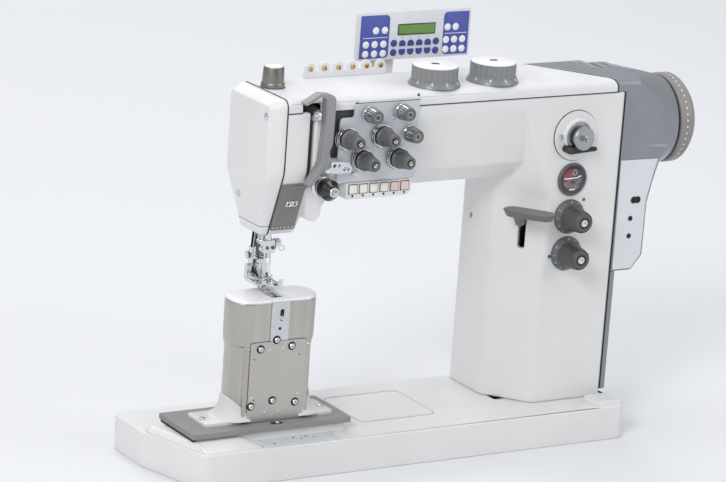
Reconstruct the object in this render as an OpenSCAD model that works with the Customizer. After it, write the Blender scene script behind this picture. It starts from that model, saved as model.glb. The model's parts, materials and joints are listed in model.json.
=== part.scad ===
// Double needle post bed lockstitch sewing machine head, millimetres, +Z up.
// The origin is at the middle of the bed's footprint, on the surface that the bed stands on.
// +X runs along the arm from the needles to the handwheel, and -Y is the operator's side.

/* [Bed] */
// Length of the bed casting
bed_len = 668; // [640:1:720]
// Width of the bed casting
bed_w = 192; // [184:1:210]
// Height of the bed, from the floor to the working surface
bed_h = 45; // [42:1:60]
// Thickness of the bed's top plate
bed_plate_t = 8; // [6:0.5:10]
// Thickness of the bed's skirt and ribs
bed_wall = 8; // [6:0.5:12]
// Setback of the bed's front left corner, which runs off at a slant
bed_slant = 31; // [10:1:40]
// Height of the platform under the rubber plate
riser_h = 11; // [8:0.5:14]
// Thickness of the cover round the bed's left end
end_cover_t = 8; // [5:0.5:9]
// Thickness of the steel slide plate
slide_plate_t = 2.4; // [1.5:0.1:3]

/* [Needles and feet] */
// Distance from the bed's left end to the needles
needle_from_end = 155; // [150:1:165]
// Distance from the bed's front edge to the needles
needle_setback = 92; // [86:1:98]
// Distance between the two needles
needle_gap = 8; // [6:0.5:10]
// Radius of the needle bar
needle_bar_r = 4; // [3:0.25:4.5]
// Radius of the inner foot's bar
walking_bar_r = 4; // [3:0.25:4.5]
// Radius of the presser bar
presser_bar_r = 5; // [4:0.25:6]
// Distance from the needle bar back to the inner foot's bar
walking_back = 13; // [12:0.5:15]
// Distance from the needle bar back to the presser bar
presser_back = 27; // [26:0.5:30]
// Height of the raised feet over the throat plate
foot_lift = 7; // [5:0.5:10]
// Height of the raised needle points over the throat plate
needle_lift = 10; // [9:0.5:14]
// Stroke of the needle bar
needle_stroke = 34; // [28:1:34]

/* [Post] */
// Height of the post over the bed
post_h = 178; // [165:1:190]
// Width of the post along the arm
post_w = 121; // [114:1:126]
// Depth of the post
post_d = 56; // [54:1:60]
// Distance of the post's middle in front of the needles
post_forward = 15; // [13:0.5:16]
// Radius of the post's ends
post_end_r = 24; // [16:1:26]
// Wall of the hook chamber
post_wall = 3.5; // [2.5:0.25:4]
// Height of the shoulder where the post widens
shoulder_h = 119; // [110:1:124]
// Step between the post's lower body and its head
shoulder_step = 2; // [1:0.25:3]
// Thickness of the throat plate and the hook covers
post_top_t = 3; // [2:0.25:4]
// Width of the throat plate
throat_plate_w = 26; // [24:1:30]
// Radius of a rotary hook
hook_r = 21; // [19:0.25:21.5]
// Distance from the needles' middle to a hook's axis
hook_off = 27; // [26:0.5:29]
// Radius of a hook's shaft
hook_shaft_r = 6; // [4:0.25:8]
// Travel of a hook cover
hook_cover_travel = 30; // [20:1:40]
// Length of the rubber plate
rubber_len = 228; // [215:1:236]
// Width of the rubber plate
rubber_w = 94; // [86:1:98]
// Thickness of the rubber plate
rubber_t = 7; // [4:0.5:9]
// Distance from the post's side to the end of its flange
flange_margin = 32; // [30:0.5:36]
// Width of the post's flange
flange_w = 66; // [62:1:74]
// Thickness of the post's flange
flange_t = 4; // [3:0.5:6]
// Height of the flange's necks over the rubber plate
neck_h = 32; // [20:1:40]
// Width of the post's front panel
post_panel_w = 80; // [70:1:84]
// Thickness of the post's front panel
post_panel_t = 3; // [2:0.25:4]
// Width of the steel strip over the panel
strip_w = 26; // [20:1:30]

/* [Column and arm] */
// Distance from the needles to the column
throat_len = 345; // [330:1:350]
// Clearance between the bed and the arm
arm_clear = 304; // [295:1:320]
// Height of the arm from its underside to the top cover
arm_h = 113; // [108:1:120]
// Depth of the arm from front to back
arm_d = 118; // [112:1:122]
// Distance of the arm's front in front of the needles
arm_forward = 43; // [41:1:45]
// Width of the column
column_w = 154; // [150:1:158]
// Depth of the column
column_d = 140; // [134:1:142]
// Width of the column's chamfered corner
chamfer_x = 46; // [36:1:56]
// Depth of the column's chamfered corner
chamfer_y = 57; // [45:1:60]
// Wall of the casting
cast_wall = 9; // [8:0.5:10]
// Undercut of the arm's front face
arm_undercut = 18; // [8:1:20]
// Distance from the needle bar to the head's open end
head_end = 8; // [7.5:0.25:10]
// Drop of the head under the arm
head_drop = 51; // [46:1:54]
// Height of the top cover
cover_h = 17; // [14:0.5:20]
// Wall of the plastic covers
cover_wall = 3; // [2:0.25:4]
// Thickness of the face cover
face_t = 22; // [16:1:26]

/* [Drive] */
// Radius of the main shaft
shaft_r = 10; // [8:0.5:12]
// Height of the main shaft over the arm's underside
shaft_rise = 58; // [54:1:62]
// Distance of the main shaft behind the needles
shaft_back = 19; // [16:1:22]
// Radius of the lower shaft
lower_shaft_r = 8; // [6:0.5:9]
// Height of the lower shaft over the floor
lower_shaft_h = 22; // [21:0.5:24]
// Radius of the belt wheels
pulley_r = 15; // [13:0.5:16]
// Width of the toothed belt
belt_w = 18; // [12:1:24]
// Thickness of the toothed belt
belt_t = 3; // [2:0.5:4]
// Radius of the handwheel
wheel_r = 60; // [56:1:65]
// Width of the handwheel
wheel_w = 26; // [22:1:32]
// Length of the motor cover
motor_len = 94; // [86:1:102]
// Gap between the motor cover and the handwheel
wheel_gap = 4; // [2:0.5:6]

/* [Controls] */
// Radius of a stitch dial's scale ring
dial_ring_r = 23; // [20:0.5:24]
// Projection of a stitch dial
dial_len = 38; // [30:1:44]
// Radius of a lift dial's skirt
lift_dial_r = 34; // [30:0.5:35]
// Height of a lift dial
lift_dial_h = 26; // [20:1:32]
// Radius of the pressure knob
pressure_knob_r = 14; // [11:0.5:16]
// Height of the pressure knob
pressure_knob_h = 27; // [20:1:32]
// Thickness of the tension plate
tension_plate_t = 3; // [2:0.25:4]
// Radius of a tension disc
tension_disc_r = 14.5; // [12:0.5:14.5]
// Projection of a tension unit from its plate
tension_len = 37; // [32:1:42]
// Radius of a tension stud
tension_stud_r = 3; // [2.5:0.25:4]
// Side of a push button
button_side = 11; // [9:0.5:12]
// Distance between push buttons
button_pitch = 15.2; // [14:0.2:15.6]
// Travel of a push button
button_travel = 1.2; // [0.8:0.1:1.4]
// Radius of the bobbin winder's plate
winder_plate_r = 33; // [28:1:34]
// Radius of the bobbin winder's wheel
winder_wheel_r = 17; // [14:0.5:18]
// Radius of the oil gauge
gauge_r = 22; // [18:0.5:23]
// Length of the reverse lever's paddle
paddle_len = 70; // [60:1:76]
// Angle that the reverse lever can be pressed
lever_press = 20; // [10:1:22]
// Width of the control panel
panel_w = 171; // [160:1:180]
// Height of the control panel
panel_h = 63; // [56:1:70]
// Thickness of the control panel
panel_t = 12; // [8:1:16]

/* [Clearances] */
// Radial clearance of running fits
run_gap = 0.05; // [0.02:0.01:0.1]
// Gap between loose pieces
gap = 0.3; // [0.2:0.05:0.4]

/* [Hidden] */
$fn = 48;

// Colours
cast_white = [0.85, 0.85, 0.84];
cover_white = [0.90, 0.90, 0.91];
nickel = [0.69, 0.68, 0.66];
steel = [0.78, 0.80, 0.82];
chrome = [0.86, 0.87, 0.88];
plate_grey = [0.65, 0.68, 0.71];
knob_grey = [0.45, 0.46, 0.45];
motor_grey = [0.55, 0.56, 0.58];
dark = [0.16, 0.16, 0.17];
rubber_grey = [0.62, 0.61, 0.61];
panel_white = [0.86, 0.87, 0.89];
cream = [0.93, 0.90, 0.84];

// Main lines of the machine
needle_x = -bed_len / 2 + needle_from_end;
needle_y = -bed_w / 2 + needle_setback;
front_y = needle_y - arm_forward;
arm_back = front_y + arm_d;
column_x = needle_x + throat_len;
column_x1 = column_x + column_w;
column_back = front_y + column_d;
under_z = bed_h + arm_clear;
seam_z = under_z + arm_h;
top_z = seam_z + cover_h;
seam_x = needle_x - head_end;
head_z = under_z - head_drop;
shaft_y = needle_y + shaft_back;
shaft_z = under_z + shaft_rise;
pulley_x = column_x + 119;
motor_x1 = column_x1 + motor_len;
walking_y = needle_y + walking_back;
presser_y = needle_y + presser_back;
bars_top = seam_z + 6;

// Heights and places of the post
post_x = needle_x;
post_y = needle_y - post_forward;
rubber_z = bed_h + riser_h;
post_z = rubber_z + rubber_t;
post_top = bed_h + post_h;
plates_z = post_top - post_top_t;
shoulder_z = bed_h + shoulder_h;
chamber_z = shoulder_z + 14;
lower_w = post_w - 2 * shoulder_step;
lower_d = post_d - 2 * shoulder_step;
lower_front = post_y - lower_d / 2;
foot_z = post_top + foot_lift;
flange_len = post_w + 2 * flange_margin;

// The head's sides are upright over this height and taper under it
taper_z = under_z + 36;
head_floor = 12;
head_foot_front = needle_y - 10;
head_foot_back = presser_y + presser_bar_r + 9;
bearing_x = seam_x + 49;
web = 10;
column_web_x = column_x - 26;

// The column's chamfer runs out between these heights
sail_z0 = under_z - 26;
sail_z1 = seam_z - 14;
bevel_z = under_z + 28;
bevel_y = 37;
plain_bevel_y = 24;

// Tension plate and button bar
tension_x0 = seam_x + 74;
tension_x1 = tension_x0 + 115;
tension_z0 = under_z + 20;
tension_z1 = seam_z + 8;
tension_y = front_y - tension_plate_t;
bar_x0 = tension_x0 + 13;
bar_x1 = bar_x0 + 6 * button_pitch + 5;
bar_y = front_y - 6;
big_tensions = [[9, 59], [60, 59.5], [33, 30], [84.5, 29.5]];
small_tensions = [[40, 88], [87, 89], [101, 59.5]];

// Controls on the column's front
control_x = column_x + 80;
winder_z = under_z + 59;
gauge_z = under_z;
dial_upper_z = under_z - 50;
dial_lower_z = under_z - 100;
lever_slot_z0 = under_z - 96;
lever_slot_z1 = under_z - 52;
lever_z = under_z - 59;
lever_slot_w = 9.5;
lever_along = 4;
lever_arm_h = 8;
lever_pivot = 55;
chamfer_angle = -atan2(chamfer_y, chamfer_x);
chamfer_mid = [column_x + chamfer_x / 2, front_y + chamfer_y / 2];

// Take-up lever
slot_x = seam_x + 37;
slot_w = 7;
take_up_y = shaft_y - 14;
take_up_z = seam_z - 32;
take_up_reach = [-57, 30];
take_up_pin_r = 3.5;
lever_t = 4;

// Places on top of the arm
lift_dial_x = [column_x - 121, column_x - 33];
lift_dial_y = front_y + lift_dial_r + 1;
knob_x = needle_x + 10;
knob_y = presser_y + 4;
rail_x0 = seam_x + 80;
rail_pitch = 20.8;
rail_y = arm_back - 14;
panel_x0 = column_x - 183;
panel_z0 = seam_z + 29;
panel_y = arm_back + 10;
dial_pin_r = 5;

// Points of a polygon whose corners [x, y, r] are rounded with arcs
function unit(v) = v / norm(v);
function turned(v, a) = [v[0] * cos(a) - v[1] * sin(a), v[0] * sin(a) + v[1] * cos(a)];
function corner(a, p, b, r, steps) =
    let (u = unit(a - p), v = unit(b - p), half = acos(u * v) / 2)
    let (c = p + unit(u + v) * (r / sin(half)), s = p + u * (r / tan(half)) - c)
    let (e = p + v * (r / tan(half)) - c, way = sign(s[0] * e[1] - s[1] * e[0]))
    [for (i = [0 : steps]) c + turned(s, way * (180 - 2 * half) * i / steps)];
function flat(p) = [p[0], p[1]];
function soft(points, steps = 6) =
    let (n = len(points))
    [for (i = [0 : n - 1])
        let (a = flat(points[(i + n - 1) % n]), p = flat(points[i]), b = flat(points[(i + 1) % n]))
        each points[i][2] > 0 ? corner(a, p, b, points[i][2], steps) : [p]];
function soft_box(w, d, r, steps = 6) =
    soft([[-w / 2, -d / 2, r], [w / 2, -d / 2, r], [w / 2, d / 2, r], [-w / 2, d / 2, r]], steps);
function fluted(r, depth, count, steps = 6) =
    [for (i = [0 : count * steps - 1])
        let (a = i * 360 / (count * steps), k = pow(sin(count * a / 2), 4))
        (r - depth * k) * [cos(a), sin(a)]];

// Prisms of a plane outline along the three axes
module x_prism(x0, x1) translate([x0, 0, 0]) rotate([90, 0, 90]) linear_extrude(x1 - x0) children();
module y_prism(y0, y1) translate([0, y1, 0]) rotate([90, 0, 0]) linear_extrude(y1 - y0) children();
module z_prism(z0, z1) translate([0, 0, z0]) linear_extrude(z1 - z0) children();
module span(low, high) translate(low) cube(high - low);
module x_rod(x0, x1, y, z, r) translate([x0, y, z]) rotate([0, 90, 0]) cylinder(h = x1 - x0, r = r);
module y_rod(x, z, y0, y1, r) translate([x, y0, z]) rotate([-90, 0, 0]) cylinder(h = y1 - y0, r = r);
module z_rod(x, y, z0, z1, r) translate([x, y, z0]) cylinder(h = z1 - z0, r = r);
// A turned form whose profile rises from y towards the operator
module front_turned(x, z, y) translate([x, y, z]) rotate([90, 0, 0]) rotate_extrude() children();

// Bed
bed_x0 = -bed_len / 2;
bed_x1 = bed_len / 2;
bed_front = -bed_w / 2;
slant_y = post_y + 34;
riser_x0 = post_x - rubber_len / 2 - 5;
riser_x1 = post_x + rubber_len / 2 - 17;
riser_y0 = post_y - rubber_w / 2 + 6;
riser_y1 = post_y + rubber_w / 2 - 6;
slide_x0 = post_x - 28;
slide_x1 = post_x + 77;
slide_y0 = bed_front + 6;
slide_y1 = riser_y0 - 1;
rubber_x = post_x - 11;
bed_outline = [
    [bed_x0, bed_w / 2, 12], [bed_x0, slant_y, 30], [bed_x0 + bed_slant, bed_front, 12],
    [bed_x1, bed_front, 16], [bed_x1, bed_w / 2, 12]
];
inner_front = bed_front + bed_wall;
inner_back = bed_w / 2 - bed_wall;
cover_plate_w = 116;
cover_plate_d = 104;
cover_plate_x = post_x + 190;
cover_plate_y = post_y + 28;
groove = 1.2;

module bed_hollow(x0, x1)
    span([x0, inner_front, -1], [x1, inner_back, bed_h - bed_plate_t]);

module bed_casting() color(cast_white) difference() {
    union() {
        z_prism(0, bed_h) polygon(soft(bed_outline));
        span([riser_x0, riser_y0, bed_h - 1], [riser_x1, riser_y1, rubber_z]);
        translate([bed_x1 - 27, bed_front + 20, bed_h - 1])
            linear_extrude(9) polygon(soft_box(50, 34, 12));
    }
    bed_hollow(bed_x0 + bed_slant + 12, post_x + 66);
    bed_hollow(post_x + 66 + bed_wall, -bed_wall / 2);
    bed_hollow(bed_wall / 2, column_x - bed_wall);
    bed_hollow(column_x, bed_x1 - bed_wall);
    span([column_x + cast_wall, shaft_y - 30, bed_h - bed_plate_t - 1],
         [column_x1 - cast_wall, shaft_y + 30, bed_h + 1]);
    x_rod(post_x - 1, column_x1, shaft_y, lower_shaft_h, lower_shaft_r + run_gap);
    span([slide_x0 - gap, slide_y0 - gap, bed_h - slide_plate_t],
         [slide_x1 + gap, slide_y1 + gap, bed_h + 1]);
    translate([cover_plate_x, cover_plate_y, bed_h - groove]) linear_extrude(groove + 1) difference() {
        polygon(soft_box(cover_plate_w, cover_plate_d, 12));
        polygon(soft_box(cover_plate_w - 2 * groove, cover_plate_d - 2 * groove, 11));
    }
}

end_cover_x1 = slide_x0 - 1;
module bed_end_cover() color(cast_white) difference() {
    hull() {
        z_prism(bed_h, bed_h + 1) polygon(soft([
            [bed_x0 + 2, slant_y, 12], [bed_x0 + bed_slant + 2, bed_front + 2, 12],
            [end_cover_x1, bed_front + 2, 8], [end_cover_x1 - 26, riser_y0, 0],
            [bed_x0 + 12, slant_y + 6, 4]]));
        z_prism(bed_h + end_cover_t - 1, bed_h + end_cover_t) polygon(soft([
            [bed_x0 + 10, slant_y - 6, 6], [riser_x0 - 2, riser_y0 - 10, 6],
            [end_cover_x1 - 22, riser_y0 - 10, 6], [end_cover_x1 - 30, riser_y0, 0],
            [bed_x0 + 16, slant_y, 4]]));
    }
    span([riser_x0 - gap, riser_y0 - gap, bed_h - 1], [riser_x1, riser_y1 + bed_w, rubber_z + 1]);
}

module slide_plate() color(plate_grey) difference() {
    span([slide_x0, slide_y0, bed_h - slide_plate_t], [slide_x1, slide_y1, bed_h]);
    for (i = [0 : 3])
        z_rod(slide_x0 + 46 + 9 * i, slide_y1 - 7 - 5 * (i % 2), bed_h - slide_plate_t - 1,
            bed_h + 1, 1.2);
    z_rod(slide_x0 + 12, slide_y0 + 10, bed_h - slide_plate_t - 1, bed_h + 1, 1.6);
}

// Post
module post_plan(w, d, r) translate([post_x, post_y]) polygon(soft_box(w, d, r, 8));

module rubber_plate() color(rubber_grey)
    translate([rubber_x, post_y, rubber_z]) linear_extrude(rubber_t)
        polygon(soft_box(rubber_len, rubber_w, 2));

neck_reach = 18;
frame_w = post_panel_w + 14;
module neck(side) y_prism(post_y - 20, post_y + 20)
    polygon([each [for (i = [0 : 8])
            let (a = 90 * i / 8)
            [post_x + side * (lower_w / 2 + neck_reach - neck_reach * sin(a)),
             post_z + flange_t + (neck_h - flange_t) * (1 - cos(a))]],
        [post_x + side * (lower_w / 2 - 14), post_z + neck_h],
        [post_x + side * (lower_w / 2 - 14), post_z + flange_t / 2],
        [post_x + side * (lower_w / 2 + neck_reach), post_z + flange_t / 2]]);

module post_flange() color(cast_white) difference() {
    union() {
        translate([post_x - 4, post_y, post_z]) linear_extrude(flange_t)
            polygon(soft_box(flange_len, flange_w, 6));
        neck(-1);
        neck(1);
    }
    z_prism(post_z - 1, post_z + neck_h + 1) post_plan(lower_w + 2 * gap, lower_d + 2 * gap, post_end_r);
    span([post_x - frame_w / 2 - gap, post_y - post_d, post_z - 1],
         [post_x + frame_w / 2 + gap, post_y, post_z + neck_h + 1]);
}

module post_housing() color(nickel) difference() {
    union() {
        z_prism(post_z, shoulder_z - shoulder_step) post_plan(lower_w, lower_d, post_end_r);
        hull() {
            z_prism(shoulder_z - shoulder_step, shoulder_z - shoulder_step + 0.1)
                post_plan(lower_w, lower_d, post_end_r);
            z_prism(shoulder_z, shoulder_z + 0.1) post_plan(post_w, post_d, post_end_r);
        }
        z_prism(shoulder_z, plates_z) post_plan(post_w, post_d, post_end_r);
        span([post_x - frame_w / 2, lower_front - 1.5, post_z],
             [post_x + frame_w / 2, lower_front + 3, shoulder_z - 3]);
    }
    z_prism(chamber_z, post_top)
        post_plan(post_w - 2 * post_wall, post_d - 2 * post_wall, post_end_r - 2);
    for (side = [-1, 1])
        z_rod(post_x + side * hook_off, post_y, post_z + 30, post_top, hook_shaft_r + run_gap);
    span([post_x - post_panel_w / 2 - gap, lower_front - 9, post_z - 1],
         [post_x + post_panel_w / 2 + gap, lower_front + post_panel_t - 2.5, shoulder_z + 5]);
    span([post_x - strip_w / 2 - gap, post_y - post_d / 2 - 1, shoulder_z + 5],
         [post_x + strip_w / 2 + gap, post_y - post_d / 2 + strip_t, post_top]);
}

strip_t = 1.6;
panel_face = lower_front - 2.5;
module post_panel() color(nickel) difference() {
    y_prism(panel_face, panel_face + post_panel_t) polygon(soft([
        [post_x - post_panel_w / 2, post_z + 0.5, 4], [post_x + post_panel_w / 2, post_z + 0.5, 4],
        [post_x + post_panel_w / 2, shoulder_z + 4.5, 5],
        [post_x - post_panel_w / 2, shoulder_z + 4.5, 5]]));
    for (p = [[-34, 84], [31, 85], [-31, 30], [29, 33]])
        y_rod(post_x + p[0], post_z + p[1], panel_face - 1, panel_face + post_panel_t + 1, 0.9);
}

strip_front = post_y - post_d / 2;
module post_strip() color(steel) difference() {
    span([post_x - strip_w / 2, strip_front - 0.4, shoulder_z + 5],
         [post_x + strip_w / 2, strip_front + strip_t, plates_z]);
    hull() for (dz = [-4, 5])
        y_rod(post_x + 2, shoulder_z + 38 + dz, strip_front - 1, strip_front + strip_t + 1, 2.2);
    y_rod(post_x, shoulder_z + 21, strip_front - 1, strip_front + strip_t + 1, 1.4);
}

// Top of the post: the throat plate between two sliding covers
module top_layer(x0, x1) intersection() {
    z_prism(plates_z, post_top) post_plan(post_w, post_d, post_end_r);
    span([x0, post_y - post_d, plates_z], [x1, post_y + post_d, post_top]);
}
plate_x0 = post_x - throat_plate_w / 2;
plate_x1 = post_x + throat_plate_w / 2;
feed_w = 15;
feed_len = 16;
feed_travel = 4;
feed_y = needle_y - 20;
needle_hole_r = 1.8;

module throat_plate() color(steel) difference() {
    top_layer(plate_x0, plate_x1);
    for (side = [-1, 1]) hull() for (dy = [-4, 4])
        z_rod(post_x + side * needle_gap / 2, needle_y + dy, plates_z - 1, post_top + 1, needle_hole_r);
    span([post_x - feed_w / 2 - gap, feed_y - feed_len / 2 - feed_travel - gap, plates_z - 1],
         [post_x + feed_w / 2 + gap, feed_y + feed_len / 2 + feed_travel + gap, post_top + 1]);
}

module hook_cover_left() color(steel) top_layer(post_x - post_w, plate_x0 - gap);
module hook_cover_right() color(steel) top_layer(plate_x1 + gap, post_x + post_w);

feed_teeth = 6;
module feed_dog() color(chrome) difference() {
    span([post_x - feed_w / 2, feed_y - feed_len / 2, plates_z - 2],
         [post_x + feed_w / 2, feed_y + feed_len / 2, post_top + 0.6]);
    for (i = [0 : feed_teeth - 1])
        translate([post_x, feed_y - feed_len / 2 + (i + 0.5) * feed_len / feed_teeth, post_top + 0.6])
            rotate([45, 0, 0]) cube([feed_w + 2, 1.1, 1.1], center = true);
    span([post_x - 1.2, feed_y - feed_len, plates_z - 3],
        [post_x + 1.2, feed_y + feed_len, post_top + 2]);
    span([post_x - feed_w, feed_y - feed_len, plates_z - 3],
        [post_x + feed_w, feed_y + feed_len, plates_z - 1.9]);
}

// Rotary hooks: a cup with a beak on an upright shaft, and a bobbin in each cup
hook_h = 20;
cup_wall = 2.5;
hook_z = plates_z - 5 - hook_h;
bobbin_r = hook_r - cup_wall - gap;
module hook(side) color(chrome) translate([post_x + side * hook_off, post_y, 0]) difference() {
    union() {
        z_rod(0, 0, hook_z, hook_z + hook_h, hook_r);
        z_rod(0, 0, post_z + 31, hook_z + 1, hook_shaft_r);
    }
    z_rod(0, 0, hook_z + 4, hook_z + hook_h + 1, hook_r - cup_wall);
    rotate([0, 0, 90 + side * 40])
        span([0, 0, hook_z + 12], [hook_r + 1, hook_r + 1, hook_z + hook_h + 1]);
    rotate([0, 0, side * 120]) span([hook_r - 4, -5, hook_z + 9], [hook_r + 1, 5, hook_z + 12]);
}
module hook_left() hook(-1);
module hook_right() hook(1);

module bobbins() color(steel) for (side = [-1, 1]) translate([post_x + side * hook_off, post_y, 0])
    difference() {
        translate([0, 0, hook_z + 4 + gap]) rotate_extrude() polygon([
            [2.6, 0], [bobbin_r, 0], [bobbin_r, 1], [bobbin_r - 3, 2], [bobbin_r - 3, 13],
            [bobbin_r, 14], [bobbin_r, 15], [2.6, 15]]);
        z_rod(6.5, 0, hook_z, hook_z + hook_h, 1.5);
    }

// Lower shaft in the bed, and the belt that drives it
module lower_shaft() color(steel) {
    x_rod(post_x + 8, pulley_x + belt_w / 2 + 8, shaft_y, lower_shaft_h, lower_shaft_r);
    x_rod(pulley_x - belt_w / 2 - 1, pulley_x + belt_w / 2 + 1, shaft_y, lower_shaft_h, pulley_r);
}

function loop_points(r, steps = 24) = [
    each [for (i = [0 : steps]) [shaft_y + r * cos(180 * i / steps), shaft_z + r * sin(180 * i / steps)]],
    each [for (i = [0 : steps]) [shaft_y - r * cos(180 * i / steps),
        lower_shaft_h - r * sin(180 * i / steps)]]
];
module drive_belt() color(dark) x_prism(pulley_x - belt_w / 2, pulley_x + belt_w / 2) difference() {
    polygon(loop_points(pulley_r + gap + belt_t));
    polygon(loop_points(pulley_r + gap));
}

module main_shaft() color(steel) {
    x_rod(bearing_x - 12, motor_x1 + wheel_gap + wheel_w - 4, shaft_y, shaft_z, shaft_r);
    x_rod(pulley_x - belt_w / 2 - 1, pulley_x + belt_w / 2 + 1, shaft_y, shaft_z, pulley_r);
    x_rod(bearing_x - 7, bearing_x - 1, shaft_y, shaft_z, 17);
    x_rod(bearing_x - 9, bearing_x - 6, shaft_y, shaft_z + 11, 5);
}

// Column, arm and head: one casting
column_points = [
    [column_x, column_back, 14], [column_x, front_y + chamfer_y, 18],
    [column_x + chamfer_x, front_y, 14], [column_x1, front_y, 2], [column_x1, column_back, 8]
];
column_full = [
    [column_x, column_back, 14], [column_x, front_y, 2],
    [column_x1, front_y, 2], [column_x1, column_back, 8]
];
column_inner = [
    [column_x + cast_wall, column_back - cast_wall, 5],
    [column_x + cast_wall, front_y + chamfer_y + cast_wall / 2, 5],
    [column_x + chamfer_x + cast_wall / 2, front_y + cast_wall, 5],
    [column_x1 - cast_wall, front_y + cast_wall, 2], [column_x1 - cast_wall, column_back - cast_wall, 5]
];
arm_points = [
    [front_y, seam_z, 0], [front_y, seam_z - 15, 30], [front_y + arm_undercut, bevel_z - 5, 8],
    [front_y + bevel_y, under_z, 8], [arm_back - 12, under_z, 10], [arm_back, under_z + 22, 10],
    [arm_back, seam_z, 0]
];
pad_points = [
    [front_y, seam_z, 0], [front_y, bevel_z, 0], [front_y + plain_bevel_y, under_z, 0],
    [arm_back - 12, under_z, 10], [arm_back, under_z + 22, 10], [arm_back, seam_z, 0]
];
arm_inner = [
    [front_y + cast_wall, seam_z + 1, 0], [front_y + cast_wall, seam_z - 18, 0],
    [front_y + arm_undercut + cast_wall, bevel_z, 4], [front_y + bevel_y + 4, under_z + cast_wall, 4],
    [arm_back - 14, under_z + cast_wall, 4], [arm_back - cast_wall, under_z + 28, 4],
    [arm_back - cast_wall, seam_z + 1, 0]
];
head_points = [
    [front_y, seam_z, 0], [front_y, taper_z, 40], [head_foot_front, head_z, 6],
    [head_foot_back, head_z, 6], [arm_back, taper_z, 40], [arm_back, seam_z, 0]
];
head_inner = [
    [front_y + cast_wall, seam_z + 1, 0], [front_y + cast_wall, taper_z + 4, 20],
    [head_foot_front + 9, head_z + head_floor, 0], [head_foot_back - 9, head_z + head_floor, 0],
    [arm_back - cast_wall, taper_z + 4, 20], [arm_back - cast_wall, seam_z + 1, 0]
];
head_side = [
    [seam_x, seam_z, 0], [seam_x, head_z, 0], [seam_x + 38, head_z, 7], [seam_x + 42, head_z + 28, 16],
    [seam_x + 66, under_z, 10], [seam_x + 86, under_z, 0], [seam_x + 86, seam_z, 0]
];
winder_knob_x = seam_x + 55;
winder_knob_z = under_z + 17;
guide_z0 = shaft_z + 20;
guide_z1 = guide_z0 + 9;
pocket_d = 5;

module at_chamfer(z) translate([chamfer_mid[0], chamfer_mid[1], z]) rotate([0, 0, chamfer_angle])
    translate([lever_along, 0, 0]) children();

module arm_solid() {
    z_prism(bed_h, sail_z0) polygon(soft(column_points));
    hull() {
        z_prism(sail_z0, sail_z0 + 0.1) polygon(soft(column_points, 3));
        z_prism(sail_z1, sail_z1 + 0.1) polygon(soft(column_full, 3));
    }
    z_prism(sail_z1, seam_z) polygon(soft(column_full));
    x_prism(tension_x1 - 1, column_x + chamfer_x) polygon(soft(arm_points));
    x_prism(seam_x + 66, tension_x1) polygon(soft(pad_points));
    intersection() {
        y_prism(front_y - 1, arm_back + 1) polygon(soft(head_side, 10));
        x_prism(seam_x, seam_x + 86) polygon(soft(head_points));
    }
    y_rod(winder_knob_x, winder_knob_z, front_y, shaft_y, 12);
}

module bars(extra) {
    z_rod(needle_x, needle_y, head_z - 1, seam_z, needle_bar_r + extra);
    z_rod(needle_x, walking_y, head_z - 1, seam_z, walking_bar_r + extra);
    z_rod(needle_x, presser_y, head_z - 1, seam_z, presser_bar_r + extra);
}

module arm_casting() color(cast_white) difference() {
    union() {
        difference() {
            arm_solid();
            x_prism(seam_x - 1, bearing_x) polygon(soft(head_inner));
            x_prism(bearing_x + web, column_web_x) polygon(soft(arm_inner));
            x_prism(column_web_x + web, column_x + chamfer_x) polygon(soft(arm_inner));
            z_prism(bed_h - 1, seam_z - 36) polygon(soft(column_inner));
            intersection() {
                z_prism(seam_z - 37, seam_z + 1) polygon(soft(column_inner));
                span([column_x, front_y, seam_z - 38], [column_x1, arm_back - cast_wall, seam_z + 2]);
            }
        }
        span([seam_x + 1, needle_y - 9, guide_z0], [slot_x - 12, arm_back - cast_wall + 1, guide_z1]);
        x_rod(slot_x + lever_t / 2 + gap, bearing_x + 1, take_up_y, take_up_z, 7);
    }
    bars(run_gap);
    x_rod(slot_x, slot_x + 11, take_up_y, take_up_z, take_up_pin_r + run_gap);
    x_rod(seam_x + 20, column_x1 + 1, shaft_y, shaft_z, shaft_r + run_gap);
    span([slot_x - slot_w / 2, front_y - 1, take_up_z - 66],
         [slot_x + slot_w / 2, front_y + cast_wall + 20, take_up_z + 38]);
    y_prism(front_y - 1, front_y + pocket_d) polygon(soft([
        [tension_x0 - 9, tension_z1 - 70, 2], [tension_x0 + 6, tension_z1 - 70, 2],
        [tension_x0 + 6, tension_z1 - 32, 2],
        [tension_x0 + 26, tension_z1 - 32, 2], [tension_x0 + 26, seam_z + 1, 0],
        [tension_x0 - 9, seam_z + 1, 0]], 3));
    at_chamfer(lever_slot_z0)
        span([-lever_slot_w / 2, -40, 0], [lever_slot_w / 2, 40, lever_slot_z1 - lever_slot_z0]);
    for (z = [dial_upper_z, dial_lower_z])
        y_rod(control_x, z, front_y - 1, front_y + cast_wall + 1, dial_pin_r + run_gap);
    y_rod(control_x, winder_z, front_y - 1, front_y + cast_wall + 1, dial_pin_r + run_gap);
    y_rod(winder_knob_x, winder_knob_z, front_y - 1, front_y + 18, tension_stud_r);
    translate([column_x - 1, column_back - 29, bed_h + 232]) rotate([0, 90, 0])
        cylinder(h = cast_wall + 2, r = 4);
}

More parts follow.
